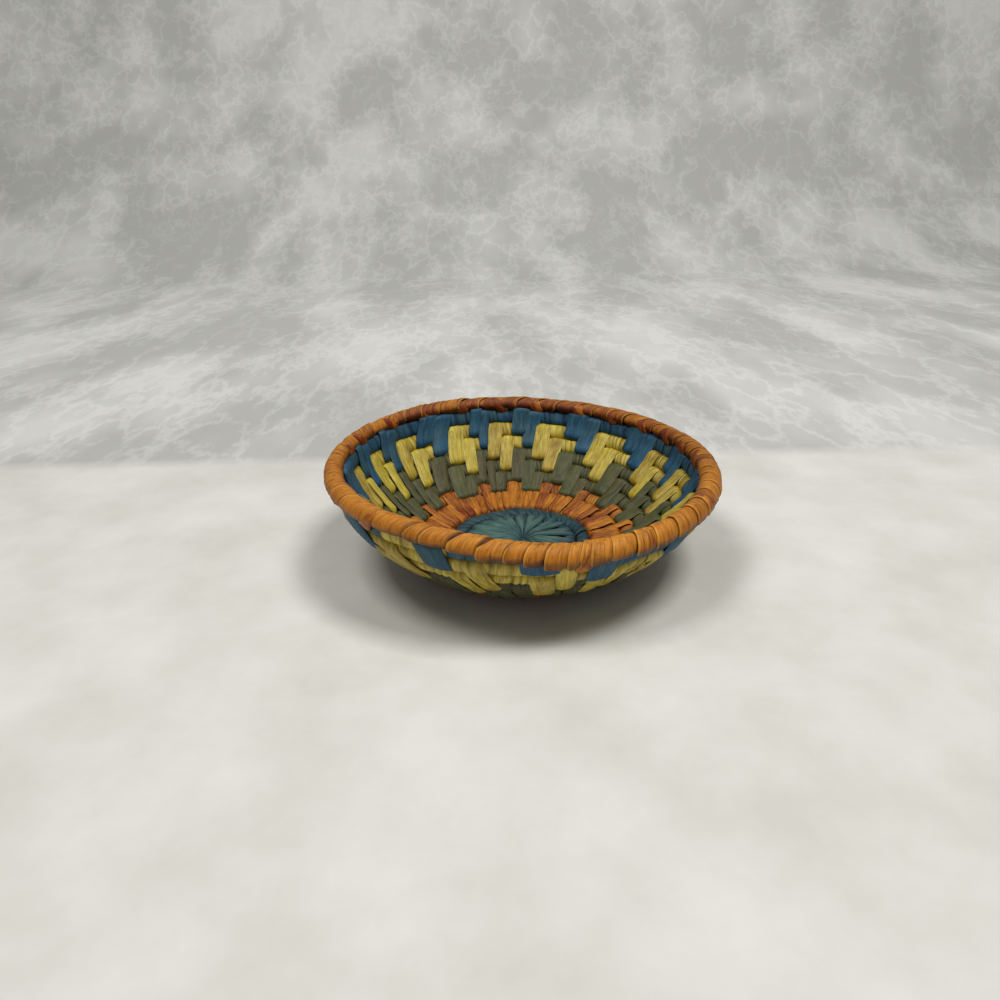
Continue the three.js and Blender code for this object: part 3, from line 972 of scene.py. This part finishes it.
@dataclass
class Disc(Craft):
    """The teal centre: a pinched knot, leaf-shaped stitches round it and a twisted border."""

    petals: int = 24
    thickness: float = 0.3 * MM
    wrap_faces: Faces = (4, 22)
    petal_faces: Faces = (8, 52)
    first_turn: float = 1.15
    wrap_width: float = 2.7 * MM
    disc_twist: float = 0.6 * MM
    border_twist: float = 1.5 * MM
    knot_radius: float = 1.5 * MM
    knot_top: float = 0.75 * MM
    knot_segments: Faces = (24, 14)
    root: float = 0.7 * MM
    puff: float = 0.75 * MM
    pinch_depth: float = 1.3 * MM
    pinch_reach: float = 2.4 * MM
    coil_half_height: float = 2.58 * MM
    coil_half_width: float = 1.95 * MM
    most_curl: float = 0.011
    leaf_shares: Row = (0.9, 1.12, 1.1, 0.98, 0.84, 0.62, 0.34)
    leaf_at_shares: Row = (0.0, 0.15, 0.4, 0.6, 0.78, 0.92, 1.0)
    spread_at_deg: Row = (0.0, 60.0, 120.0, 180.0, 240.0, 300.0)
    spreads: Row = (0.86, 0.94, 1.25, 1.4, 1.36, 0.94)

    def build(self) -> None:
        """Builds the wraps of the flat coils, and the petals in two layers round a small tied knot."""
        path = self.path
        self.coils("teal_disc_splint", self.first_turn, path.disc_turns, self.disc_twist)
        self.coils("teal_border_splint", path.disc_turns, path.border_turns, self.border_twist)
        mesh = SplintMesh(self)
        for index in range(self.petals):
            mesh.lay(self.petal(index), self.petal_faces)
        mesh.finish("centre_petals", Dye.TEAL, ["centre_knot_and_petals"], self.thickness)
        self.knot()

    def coils(self, node: str, start: float, end: float, twist: float) -> None:
        """Wraps the coils that lie flat at the centre.

        Args:
            node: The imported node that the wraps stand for.
            start: The turn where they start.
            end: The turn where they end.
            twist: How far each wrap leans.
        """
        mesh = SplintMesh(self)
        turn = start
        while turn < end:
            step = self.path.turns_for(self.wrap_width * self.draw.uniform(0.85, 1.2), turn)
            mesh.lay(Band(
                turn=turn + step / 2.0, half_turns=step * 0.58,
                outline=Outline.oval(self.coil_half_height, self.coil_half_width), middle_rise=0.0,
                middle_depth=self.path.wall / 2.0, slant_turns=leaning(self.path.turns_for(twist, turn)),
                crown=0.5 * MM, shingle=0.35 * MM, lift=even(self.draw.uniform(-0.35, 0.4) * MM),
                # The low value keeps the wraps near the deep teal and darkest in the grooves at their top
                # and bottom, which is painted shade; the far edge, under the next wrap, is painted darker as
                # shade of the step.
                tone=self.draw.random(), worn_and_shaded=on_faces(0.02, 0.22), edges=(0.0, -0.6),
                middle_width=self.wrap_width,
            ), self.wrap_faces)
            turn += step
        mesh.finish(f"{node}_wound", Dye.TEAL, [node], self.thickness)

    def petal_outline(self, reach: float) -> Outline:
        """The outline of a centre stitch, from its outer end in over the top and back below.

        Args:
            reach: How far its outer end is from the middle of the bowl.

        Returns:
            The closed outline, in distance from the middle and in depth from the wall's middle.
        """
        half_thick = self.path.wall / 2.0 - 0.12 * MM
        out = np.linspace(reach - half_thick, self.root, 44)
        puff = self.puff * np.sin(np.clip(out / reach, 0.0, 1.0) * math.pi)
        pinch = self.pinch_depth * np.exp(-((out / self.pinch_reach) ** 2))
        top = -(half_thick + puff - 0.25 * MM - pinch)
        below = half_thick - 0.26 * MM - 0.4 * pinch
        bend = np.linspace(0.0, math.pi, 14)[1:-1]
        rise = (out, out[::-1], out[0] + half_thick * np.sin(bend))
        return Outline.from_top(rise, (top, below[::-1], half_thick * np.cos(bend)), len(bend) // 2)

    def petal(self, index: int) -> Band:
        """One petal, a leaf-shaped stitch from the knot out round the third coil.

        Args:
            index: Which petal, every second one of which lies on top.

        Returns:
            The band.
        """
        path, draw = self.path, self.draw
        turn = path.disc_turns - 1.0 + (index + 0.5) / self.petals
        reach = path.pitch * turn + self.coil_half_height
        outline = self.petal_outline(reach)
        spread = float(ring_of_places(self.spread_at_deg, self.spreads, path.angle(turn)))
        width = draw.uniform(0.84, 1.12) * spread
        curl = draw.uniform(-self.most_curl, self.most_curl)

        def out(share: Array) -> Array:
            """The distance from the bowl's middle at a share of the outline."""
            return np.interp(share % 1.0, outline.share, outline.rise)

        def leaf(share: Array) -> Array:
            """The width of the leaf, by how far out it is."""
            return np.interp(out(share) / reach, self.leaf_at_shares, self.leaf_shares)

        def sweep(share: Array) -> Array:
            """A slight curl to one side."""
            return curl * np.sin(out(share) / (path.pitch * path.disc_turns) * math.pi)

        def wear_and_shade_at(share: Array) -> Array:
            """Paler over the leaf's middle, and lowest at the knot and where it dives in, which paints shade
            there.
            """
            return 0.1 + 0.8 * np.clip(np.sin(out(share) / reach * math.pi), 0.0, 1.0) ** 0.8

        return Band(
            turn=turn, half_turns=width * 0.5 / self.petals, outline=outline, middle_rise=-path.pitch * turn,
            middle_depth=path.wall / 2.0 - 0.14 * MM, width_share=leaf, slant_turns=sweep,
            lift=even((0.14 if index % 2 else -0.08) * MM),
            crown=(2.0 - spread) * draw.uniform(0.8, 1.15) * MM, uneven=0.1 * MM, tone=draw.random(),
            # The petals' edges are painted darker, most on narrow petals, as shade in the gaps between them.
            worn_and_shaded=wear_and_shade_at, edges=(-0.9 * (1.7 - spread), -0.9 * (1.7 - spread)), follows_coil=False,
            middle_width=3.6 * MM,
        )

    def knot(self) -> None:
        """The small tied lump in the pinch of the petals."""
        mesh = bmesh.new()
        around, over = self.knot_segments
        bmesh.ops.create_uvsphere(mesh, u_segments=around, v_segments=over, radius=self.knot_radius)
        middle = self.path.wall / 2.0
        flattened = (middle - self.knot_top) / self.knot_radius
        bmesh.ops.scale(mesh, vec=(1.0, 1.0, flattened), verts=mesh.verts[:])
        for vert in mesh.verts:
            angle = math.atan2(vert.co.y, vert.co.x)
            swell = 1.0 + 0.12 * math.sin(5.0 * angle + vert.co.z / MM)
            vert.co.x *= swell
            vert.co.y *= swell
        bmesh.ops.translate(mesh, vec=(*self.path.pole, middle), verts=mesh.verts[:])
        as_piece(mesh, "centre_knot", self.materials[Dye.TEAL], [])


@dataclass
class Rim(Craft):
    """The fat last coil, overcast in broad wraps that lie over each other like shingles."""

    radius: float = 3.6 * MM
    below: float = 1.9 * MM
    drop: float = 0.885 * MM
    thickness: float = 0.35 * MM
    wrap_faces: Faces = (9, 36)
    tab_faces: Faces = (4, 36)
    first_turn: float = 14.05
    merge_start: float = 14.78
    seam_seen: float = 0.85
    lengths: int = 3
    most_overlap: float = 1.3 * MM
    tab_slant: float = 1.6 * MM
    seams_deg: Row = (
        296.7, 302.7, 310.8, 319.4, 326.0, 333.0, 339.0, 345.0, 350.0, 355.0, 360.0, 365.5, 371.0, 377.0,
        384.5, 391.0, 397.5, 405.0, 412.0, 419.0, 426.0, 434.5, 443.0, 450.0, 457.0, 465.0, 473.0, 481.0,
        488.8, 496.0, 504.0, 513.0, 520.0, 525.0, 531.0, 536.0, 539.0, 541.5, 544.5, 547.0, 550.0, 553.0,
        556.0, 559.5, 563.0, 567.0, 573.5, 587.0, 598.3, 602.7, 609.9, 616.9, 623.4, 628.1, 632.9, 638.4,
        641.5, 643.9, 649.6, 656.7,
    )
    tabs_deg: Row = (2.0, 14.0, 24.5, 37.5, 52.0, 66.0, 83.0, 97.0, 113.0, 128.8, 144.0, 162.0, 171.0)
    outer_tabs_deg: Row = (205.5, 224.5, 283.2)
    place_deg: Row = (
        0.0, 25.0, 60.0, 90.0, 120.0, 150.0, 175.0, 200.0, 215.0, 235.0, 250.0, 265.0, 283.0, 295.0, 330.0,
    )
    sizes: Row = (0.93, 0.88, 0.84, 0.8, 0.8, 0.78, 0.74, 0.76, 0.88, 0.8, 0.8, 0.82, 0.93, 0.9, 0.95)
    sags_mm: Row = (0.0, 0.0, 0.0, 0.0, 0.0, 0.0, 0.0, 0.0, 0.0, -0.8, -1.1, -0.1, 0.9, 0.4, 0.0)
    leans_mm: Row = (0.5, 0.5, 0.5, 0.5, 0.7, 1.0, 1.2, 1.2, 0.9, 0.7, 0.6, 0.5, 0.5, 0.5, 0.5)
    tilts_mm: Row = (1.0, 2.5, 4.0, 4.0, 4.0, 2.6, 1.0, 0.8, 1.4, 1.8, 1.8, 1.8, 1.6, 1.0, 0.8)
    steps_mm: Row = (0.36, 0.38, 0.48, 0.55, 0.55, 0.45, 0.4, 0.45, 0.6, 0.42, 0.42, 0.55, 0.72, 0.5, 0.4)
    bulges_mm: Row = (0.08, 0.08, 0.15, 0.2, 0.2, 0.18, 0.15, 0.2, 0.25, 0.12, 0.12, 0.18, 0.3, 0.12, 0.08)
    rust: Row = (0.6, 0.7, 0.9, 1.0, 0.9, 0.65, 0.55, 0.5, 0.25, 0.15, 0.1, 0.1, 0.1, 0.1, 0.4)
    # How much darker whole wraps are at each angle of place_deg, most at the right side.
    darkening_by_angle: Row = (
        -0.34, -0.2, -0.1, -0.12, -0.12, -0.12, -0.2, -0.22, -0.1, -0.05, -0.04, 0.0, 0.0, 0.0, -0.16,
    )

    def __post_init__(self) -> None:
        """Leaves the maker's uneven slots out of the rim's own path, because its seams are given."""
        self.path = replace(self.path, drift_deg=tuple(0.0 for _ in self.path.drift_deg))

    def at(self, values: Sequence[float], angle_deg: float) -> float:
        """One of the rim's uneven values at an angle, from its table over place_deg."""
        return float(ring_of_places(self.place_deg, values, math.radians(angle_deg)))

    def length(self, values_mm: Sequence[float], angle_deg: float) -> float:
        """One of the rim's uneven lengths at an angle, in metres."""
        return self.at(values_mm, angle_deg) * MM

    def middle(self, turn: float, angle_deg: float) -> Pair:
        """Where the rim's middle is.

        Args:
            turn: The rim's turn.
            angle_deg: The angle round the bowl, where its sag and lean are read.

        Returns:
            How far it is along the wall from the coil's own place, and its depth in the wall.
        """
        sunk = self.path.pitch * smooth_step(turn, self.merge_start, self.first_turn + 1.0)
        rise = float(-self.drop - sunk) - self.length(self.sags_mm, angle_deg)
        return rise, self.path.wall / 2.0 + self.length(self.leans_mm, angle_deg)

    def outline(self, size: float, below: float) -> Outline:
        """The rim's section, from its top over the inner face: round, and flat underneath.

        Args:
            size: Its size beside the largest.
            below: How far it reaches below its middle.

        Returns:
            The closed outline.
        """
        turn = np.linspace(0.0, math.tau, SECTION_STEPS, endpoint=False)
        height = np.where(np.cos(turn) > 0.0, self.radius * size, below)
        return Outline.through(height * np.cos(turn), -self.radius * size * np.sin(turn))

    def turn_at(self, angle_deg: float) -> float:
        """The rim's turn at an angle, counted on past 360 degrees."""
        return self.path.blue_turns + (angle_deg - self.path.start_deg) / 360.0

    def seam_turn(self, angle_deg: float) -> float:
        """The turn of a seam that shows at an angle: on the outer face in front, on the inner behind."""
        turn = self.turn_at(angle_deg)
        tilt = self.path.turns_for(self.length(self.tilts_mm, angle_deg), turn)
        return turn - self.seam_seen * tilt * math.sin(math.radians(angle_deg))

    def build(self) -> None:
        """Overcasts the rim in three lengths of splint."""
        meshes = [SplintMesh(self) for _ in range(self.lengths)]
        for low, high in zip(self.seams_deg, self.seams_deg[1:]):
            turn, end = self.seam_turn(low), self.seam_turn(high)
            self.length_at(meshes, turn).lay(self.wrap(turn, end - turn), self.wrap_faces)
        for inner, places in ((1.0, self.tabs_deg), (-1.0, self.outer_tabs_deg)):
            for angle in places:
                turn = self.turn_at(angle + 360.0)
                self.length_at(meshes, turn).lay(self.tab(turn, inner), self.tab_faces)
        for number, mesh in enumerate(meshes, start=1):
            node = f"rim_splint_{number}"
            mesh.finish(f"{node}_overcast", Dye.RIM, [node], self.thickness)

    def length_at(self, meshes: list[SplintMesh], turn: float) -> SplintMesh:
        """The length of splint that covers a turn."""
        number = int((turn - self.first_turn) * self.lengths)
        return meshes[min(max(number, 0), self.lengths - 1)]

    def wrap(self, turn: float, step: float) -> Band:
        """One wrap of the rim.

        Args:
            turn: Where its leading edge lies.
            step: How much of a turn shows before the next wrap covers it.

        Returns:
            The band, whose leading edge lies over the wrap before it.
        """
        draw = self.draw
        overlap = min(0.35 * step, self.path.turns_for(self.most_overlap, turn))
        covered = 1.0 - 2.0 * overlap / (step + overlap)
        half = (step + overlap) / 2.0
        middle = turn + half
        angle = self.path.degrees_at(middle)
        tilt = self.path.turns_for(self.length(self.tilts_mm, angle), turn)
        tone = min(1.0, max(0.0, self.at(self.rust, angle) + draw.uniform(-0.3, 0.3)))
        rise, depth = self.middle(middle, angle)
        size = self.at(self.sizes, angle) * draw.uniform(0.97, 1.03)
        bulge = self.at(self.bulges_mm, angle) * draw.uniform(-1.0, 1.0) * MM

        def narrowing(share: Array) -> Array:
            """Gathered where the wrap passes under the rim."""
            return 0.64 + 0.36 * smooth_step(upward(share), -0.95, -0.25)

        def slanting(share: Array) -> Array:
            """Leans outward and back, and draws the leading edge in where the band is gathered."""
            return tilt * inward(share) + half * (1.0 - narrowing(share)) * 0.6

        return Band(
            turn=middle, half_turns=half, outline=self.outline(size, self.below), middle_rise=rise,
            middle_depth=depth, width_share=narrowing, slant_turns=slanting,
            lift=lambda share: bulge * np.cos(share * math.tau - 0.9), crown=0.2 * MM,
            shingle=self.at(self.steps_mm, angle) * draw.uniform(0.85, 1.15) * MM, trailing_drop=0.45 * MM,
            # Whole wraps are darker at some angles round the bowl, most at the right side.
            uneven=0.16 * MM, tone=tone, darkening=self.at(self.darkening_by_angle, angle) + draw.uniform(-0.08, 0.08),
            # Painted light: this value paints the rim's top lighter and its sides and underside darker, as
            # light from above and shade.
            worn_and_shaded=lambda share: 0.02 + 0.76 * np.clip(0.85 * upward(share) + 0.25, 0.0, 1.0),
            # A painted highlight on the near edge's lip, and a painted shadow as a dark seam where the next
            # wrap covers the far edge.
            edges=(0.7, -0.9), edge_from=covered - 0.09, edge_full=covered + 0.05, lip_from=0.8,
            middle_width=2.0 * half * math.tau * self.path.radius(middle),
        )

    def tab(self, turn: float, inner: float) -> Band:
        """The pointed end of a wrap that is tied through the coil below.

        Args:
            turn: Where it lies.
            inner: 1 where it shows on the bowl's inner side, -1 on its outer side.

        Returns:
            The band.
        """
        angle = self.path.degrees_at(turn)
        half = self.path.turns_for(self.draw.uniform(2.2, 3.0) * MM, turn)
        below = self.below + (self.draw.uniform(1.3, 2.0) + 0.6 * (1.0 - inner)) * MM
        rise, depth = self.middle(turn, angle)
        return Band(
            turn=turn, half_turns=half, outline=self.outline(self.at(self.sizes, angle), below),
            middle_rise=rise, middle_depth=depth,
            width_share=lambda share: 0.3 + 0.7 * smooth_step(upward(share), -1.0, -0.2),
            slant_turns=leaning(self.path.turns_for(self.tab_slant, turn)),
            lift=lambda share: (0.5 * inner * inward(share) - 0.1) * MM, crown=0.35 * MM, uneven=0.1 * MM,
            tone=min(1.0, self.at(self.rust, angle) + 0.3), worn_and_shaded=even(0.3), edges=(0.3, -0.5),
            middle_width=2.5 * MM,
        )


@dataclass(frozen=True)
class LooseEnd:
    """One stray fibre, by the places that it passes round the bowl and round the rim's section."""

    angles_deg: Row
    around_deg: Row
    away_mm: Row
    radius: float = 0.12 * MM


@dataclass
class LooseEnds:
    """The few fibres that have come away from the rim."""

    rim: Rim
    stations: int = 28
    softening: Row = (-0.12, -0.04, 0.04, 0.12)
    look_ahead: float = 0.02
    taper: float = 0.6
    stray_loop: tuple[LooseEnd, ...] = (
        LooseEnd((200.0, 201.0, 203.5, 206.5, 208.5), (250.0, 215.0, 205.0, 222.0, 262.0),
                 (-0.4, 1.6, 2.4, 1.4, -0.4)),
    )
    inner_fray: tuple[LooseEnd, ...] = (
        LooseEnd((212.0, 214.5, 218.0), (62.0, 76.0, 88.0), (-0.3, 0.7, 0.9)),
        LooseEnd((214.0, 217.0, 221.5), (60.0, 78.0, 92.0), (-0.3, 0.5, 1.0)),
        LooseEnd((217.0, 219.0, 221.0), (64.0, 70.0, 84.0), (-0.3, 0.8, 0.5)),
    )
    torn_tuft: tuple[LooseEnd, ...] = (
        LooseEnd((277.4, 277.0, 276.2), (232.0, 222.0, 214.0), (-0.3, 0.7, 1.0), 0.22 * MM),
        LooseEnd((277.8, 277.6, 277.2), (230.0, 216.0, 206.0), (-0.3, 0.9, 1.3), 0.26 * MM),
        LooseEnd((278.2, 278.4, 278.9), (232.0, 218.0, 208.0), (-0.3, 0.7, 0.9), 0.2 * MM),
    )

    def build(self) -> None:
        """Lays each fibre as a thin tapering rod and joins them in one piece."""
        mesh = SplintMesh(self.rim)
        for fibre in self.stray_loop + self.inner_fray + self.torn_tuft:
            mesh.rod(np.linspace(0.0, 1.0, self.stations), self.section(fibre))
        mesh.finish("rim_loose_ends", Dye.RIM, [], looks=Dye.YELLOW)

    def along(self, fibre: LooseEnd, share: float) -> Vector:
        """A point on a fibre, from 0 at its root to 1 at its tip."""
        places = np.linspace(0.0, 1.0, len(fibre.angles_deg))
        angle, around, away = (
            float(np.mean([np.interp(share + shift, places, values) for shift in self.softening]))
            for values in (fibre.angles_deg, fibre.around_deg, fibre.away_mm)
        )
        around, away, rim = math.radians(around), away * MM, self.rim
        size = rim.radius * rim.at(rim.sizes, angle)
        turn = rim.turn_at(angle + 360.0)
        rise, depth = rim.middle(turn, angle)
        rise += ((rim.below if math.cos(around) < 0.0 else size) + away) * math.cos(around)
        depth -= (size + away) * math.sin(around)
        place = (turn, rim.path.pitch * turn + rise, depth)
        return Vector(rim.path.place(*(np.array([value]) for value in place))[0])

    def section(self, fibre: LooseEnd) -> SectionOf:
        """The round section of a fibre, thinner towards its tip.

        Args:
            fibre: The fibre.

        Returns:
            A function from a section's angles and a share of the fibre to points.
        """
        def points(angles: Array, share: float) -> Array:
            """The section's points."""
            middle = self.along(fibre, share)
            ahead = self.along(fibre, min(share + self.look_ahead, 1.0))
            way = (ahead - self.along(fibre, max(share - self.look_ahead, 0.0))).normalized()
            across = way.cross(Vector((0.3, 0.2, 1.0))).normalized()
            over = way.cross(across)
            radius = float(fibre.radius * (1.0 - self.taper * share))
            return np.array([
                tuple(middle + across * radius * math.cos(turn) + over * radius * math.sin(turn))
                for turn in angles
            ])

        return points


@dataclass
class Foundation(Craft):
    """The bundle of grass that the whole basket is coiled from."""

    strands: int = 7
    strand_radius: float = 0.5 * MM
    bundle_radius: float = 0.72 * MM
    stations_per_turn: int = 30
    twists_per_turn: float = 1.25
    start_turn: float = 1.2
    end_turn: float = 14.7

    def build(self) -> None:
        """Lays the strands side by side, with a slow twist."""
        mesh = SplintMesh(self)
        turns = np.arange(self.start_turn, self.end_turn, 1.0 / self.stations_per_turn)
        for index in range(self.strands):
            mesh.rod(turns, self.section(index))
        mesh.finish("foundation_coil_grass", Dye.GRASS, ["foundation_coil"])

    def section(self, index: int) -> SectionOf:
        """One strand's place in the bundle.

        Args:
            index: Which strand, the first at the bundle's middle.

        Returns:
            A function from a section's angles and its turn to points.
        """
        away = 0.0 if index == 0 else self.bundle_radius
        start = math.tau * index / (self.strands - 1)

        def points(angles: Array, turn: float) -> Array:
            """The section's points at a turn."""
            around = start + self.twists_per_turn * turn * math.tau
            rise = away * math.sin(around) + self.strand_radius * np.sin(angles)
            depth = away * math.cos(around) + self.strand_radius * np.cos(angles)
            turns = np.full_like(angles, turn)
            return self.path.place(turns, self.path.pitch * turn + rise, self.path.wall / 2.0 + depth)

        return points


@dataclass
class Studio:
    """The pale floor and backdrop, the soft light and the camera."""

    camera_place: Point = (-0.00767, -0.23177, 0.12367)
    pitch_deg: float = 24.4
    roll_deg: float = -1.13
    lens: float = 26.82
    sensor: float = 36.0
    nearest: float = 0.01
    floor_half: float = 1.6
    floor_faces: Faces = (2, 40)
    backdrop_distance: float = 0.62
    backdrop_bend: float = 0.35
    backdrop_height: float = 1.4
    cloth_starts: float = 0.089
    cloth_blend: float = 0.006
    cloth_tones_at: Pair = (0.14, 0.5)
    lamps: tuple[tuple[str, Point, float], ...] = (
        ("right_panel", (0.34, -0.178, 0.98), 6.5), ("left_panel", (-0.37, -0.178, 0.98), 4.4),
    )
    lamp_size: float = 0.3
    lamp_colour: Point = (1.0, 0.99, 0.97)
    lamps_aim: Point = (0.0, 0.0, 0.015)
    room_colour: Colour = (1.0, 1.0, 0.99, 1.0)
    room_strength: float = 0.2

    def camera(self) -> None:
        """Puts the camera where the photograph was taken from."""
        data = bpy.data.cameras.new("photo_camera")
        data.lens = self.lens
        data.sensor_width = self.sensor
        data.clip_start = self.nearest
        camera = show("photo_camera", data)
        tilt = Matrix.Rotation(math.radians(90.0 - self.pitch_deg), 4, "X")
        roll = Matrix.Rotation(math.radians(self.roll_deg), 4, "Z")
        camera.matrix_world = Matrix.Translation(self.camera_place) @ tilt @ roll
        bpy.context.scene.camera = camera

    def ground(self) -> Material:
        """The matt ground: pale and faintly cloudy round the bowl, greyer and marbled behind it.

        Returns:
            The material.
        """
        made, sheet = NodeSheet.of_material("pale_ground")
        place = sheet.add("ShaderNodeTexCoord").outputs["Object"]
        drawn_out = sheet.scaled(place, (1.0, 0.4, 1.0))
        cloudy = sheet.span(sheet.noise(place, 22.0, 5.0, 0.6), 0.35, 0.65)
        table = sheet.mix(cloudy, paint(218, 217, 212), paint(204, 202, 195))
        clouds = sheet.noise(drawn_out, 11.0, 3.0, 0.5)
        veins = sheet.cracks(drawn_out, 34.0, 6.0, 0.62)
        marbled = sheet.math("ADD", sheet.span(clouds, 0.36, 0.62), sheet.span(veins, 0.0, 0.05, -0.4, 0.0))
        away = sheet.add("ShaderNodeSeparateXYZ", {"Vector": place}).outputs["Y"]
        far = sheet.span(away, *self.cloth_tones_at)
        light = sheet.mix(far, paint(216, 216, 212), paint(237, 237, 234))
        dark = sheet.mix(far, paint(180, 180, 176), paint(202, 202, 198))
        cloth = sheet.mix(sheet.math("ADD", marbled, 0.15, clamp=True), light, dark)
        behind = sheet.span(away, self.cloth_starts - self.cloth_blend, self.cloth_starts + self.cloth_blend)
        sheet.surface({
            "Base Color": sheet.mix(behind, table, cloth), "Roughness": 0.9, "Specular IOR Level": 0.2,
        })
        return made

    def sweep(self) -> None:
        """A floor that curves up into the backdrop."""
        mesh = bmesh.new()
        across, back = self.floor_faces
        bmesh.ops.create_grid(mesh, x_segments=across, y_segments=back, size=1.0)
        bend = self.backdrop_bend
        for vert in mesh.verts:
            run = (vert.co.y + 1.0) / 2.0 * (self.floor_half + self.backdrop_distance + self.backdrop_height)
            along = run - self.floor_half
            turn = min(max(along - self.backdrop_distance, 0.0) / bend, math.pi / 2.0)
            rest = max(along - self.backdrop_distance - bend * math.pi / 2.0, 0.0)
            away = min(along, self.backdrop_distance) + bend * math.sin(turn)
            vert.co = Vector((vert.co.x * self.floor_half, away, bend * (1.0 - math.cos(turn)) + rest))
        for face in mesh.faces:
            face.smooth = True
        data = bpy.data.meshes.new("studio_sweep")
        mesh.to_mesh(data)
        mesh.free()
        data.materials.append(self.ground())
        ground = show("studio_sweep", data)

    def light(self, name: str, place: Point, power: float) -> None:
        """A soft square lamp that points at the bowl.

        Args:
            name: The lamp's name.
            place: Where it hangs.
            power: Its power in watts.
        """
        data = bpy.data.lights.new(name, "AREA")
        data.shape = "SQUARE"
        data.size = self.lamp_size
        data.energy = power
        data.color = self.lamp_colour
        way = Vector(self.lamps_aim) - Vector(place)
        turned = way.to_track_quat("-Z", "Y").to_matrix().to_4x4()
        show(name, data).matrix_world = Matrix.Translation(place) @ turned

    def build(self) -> None:
        """Builds the ground, the lamps and the even light of the room."""
        self.sweep()
        for name, place, power in self.lamps:
            self.light(name, place, power)
        world = bpy.data.worlds.new("room")
        world.use_nodes = True
        room = world.node_tree.nodes["Background"].inputs
        room["Color"].default_value = self.room_colour
        room["Strength"].default_value = self.room_strength
        scene = bpy.context.scene
        scene.world = world
        scene.view_settings.view_transform = "Standard"


def main() -> None:
    """Builds the camera, the finishes, the basket and the studio."""
    logging.basicConfig(level=logging.INFO, format="%(name)s: %(message)s")
    studio = Studio()
    studio.camera()
    resting = frame["record"]["mounts"][0]["pos_m"]
    path = CoilPath(pole=(resting[0], resting[1]))
    fibres, wear_and_shade = splint_fibre_group(), dye_wear_and_painted_light_group()
    materials = {finish.dye: finish.material(fibres, wear_and_shade) for finish in FINISHES}
    draw = random.Random(67)
    wound = [part(path, materials, draw) for part in (Foundation, Disc, Splints, Rim)]
    for part in (*wound, LooseEnds(wound[-1]), studio):
        part.build()


def write_sizes() -> None:
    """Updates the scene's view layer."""
    bpy.context.view_layer.update()


if __name__ == "__main__":
    main()
    write_sizes()
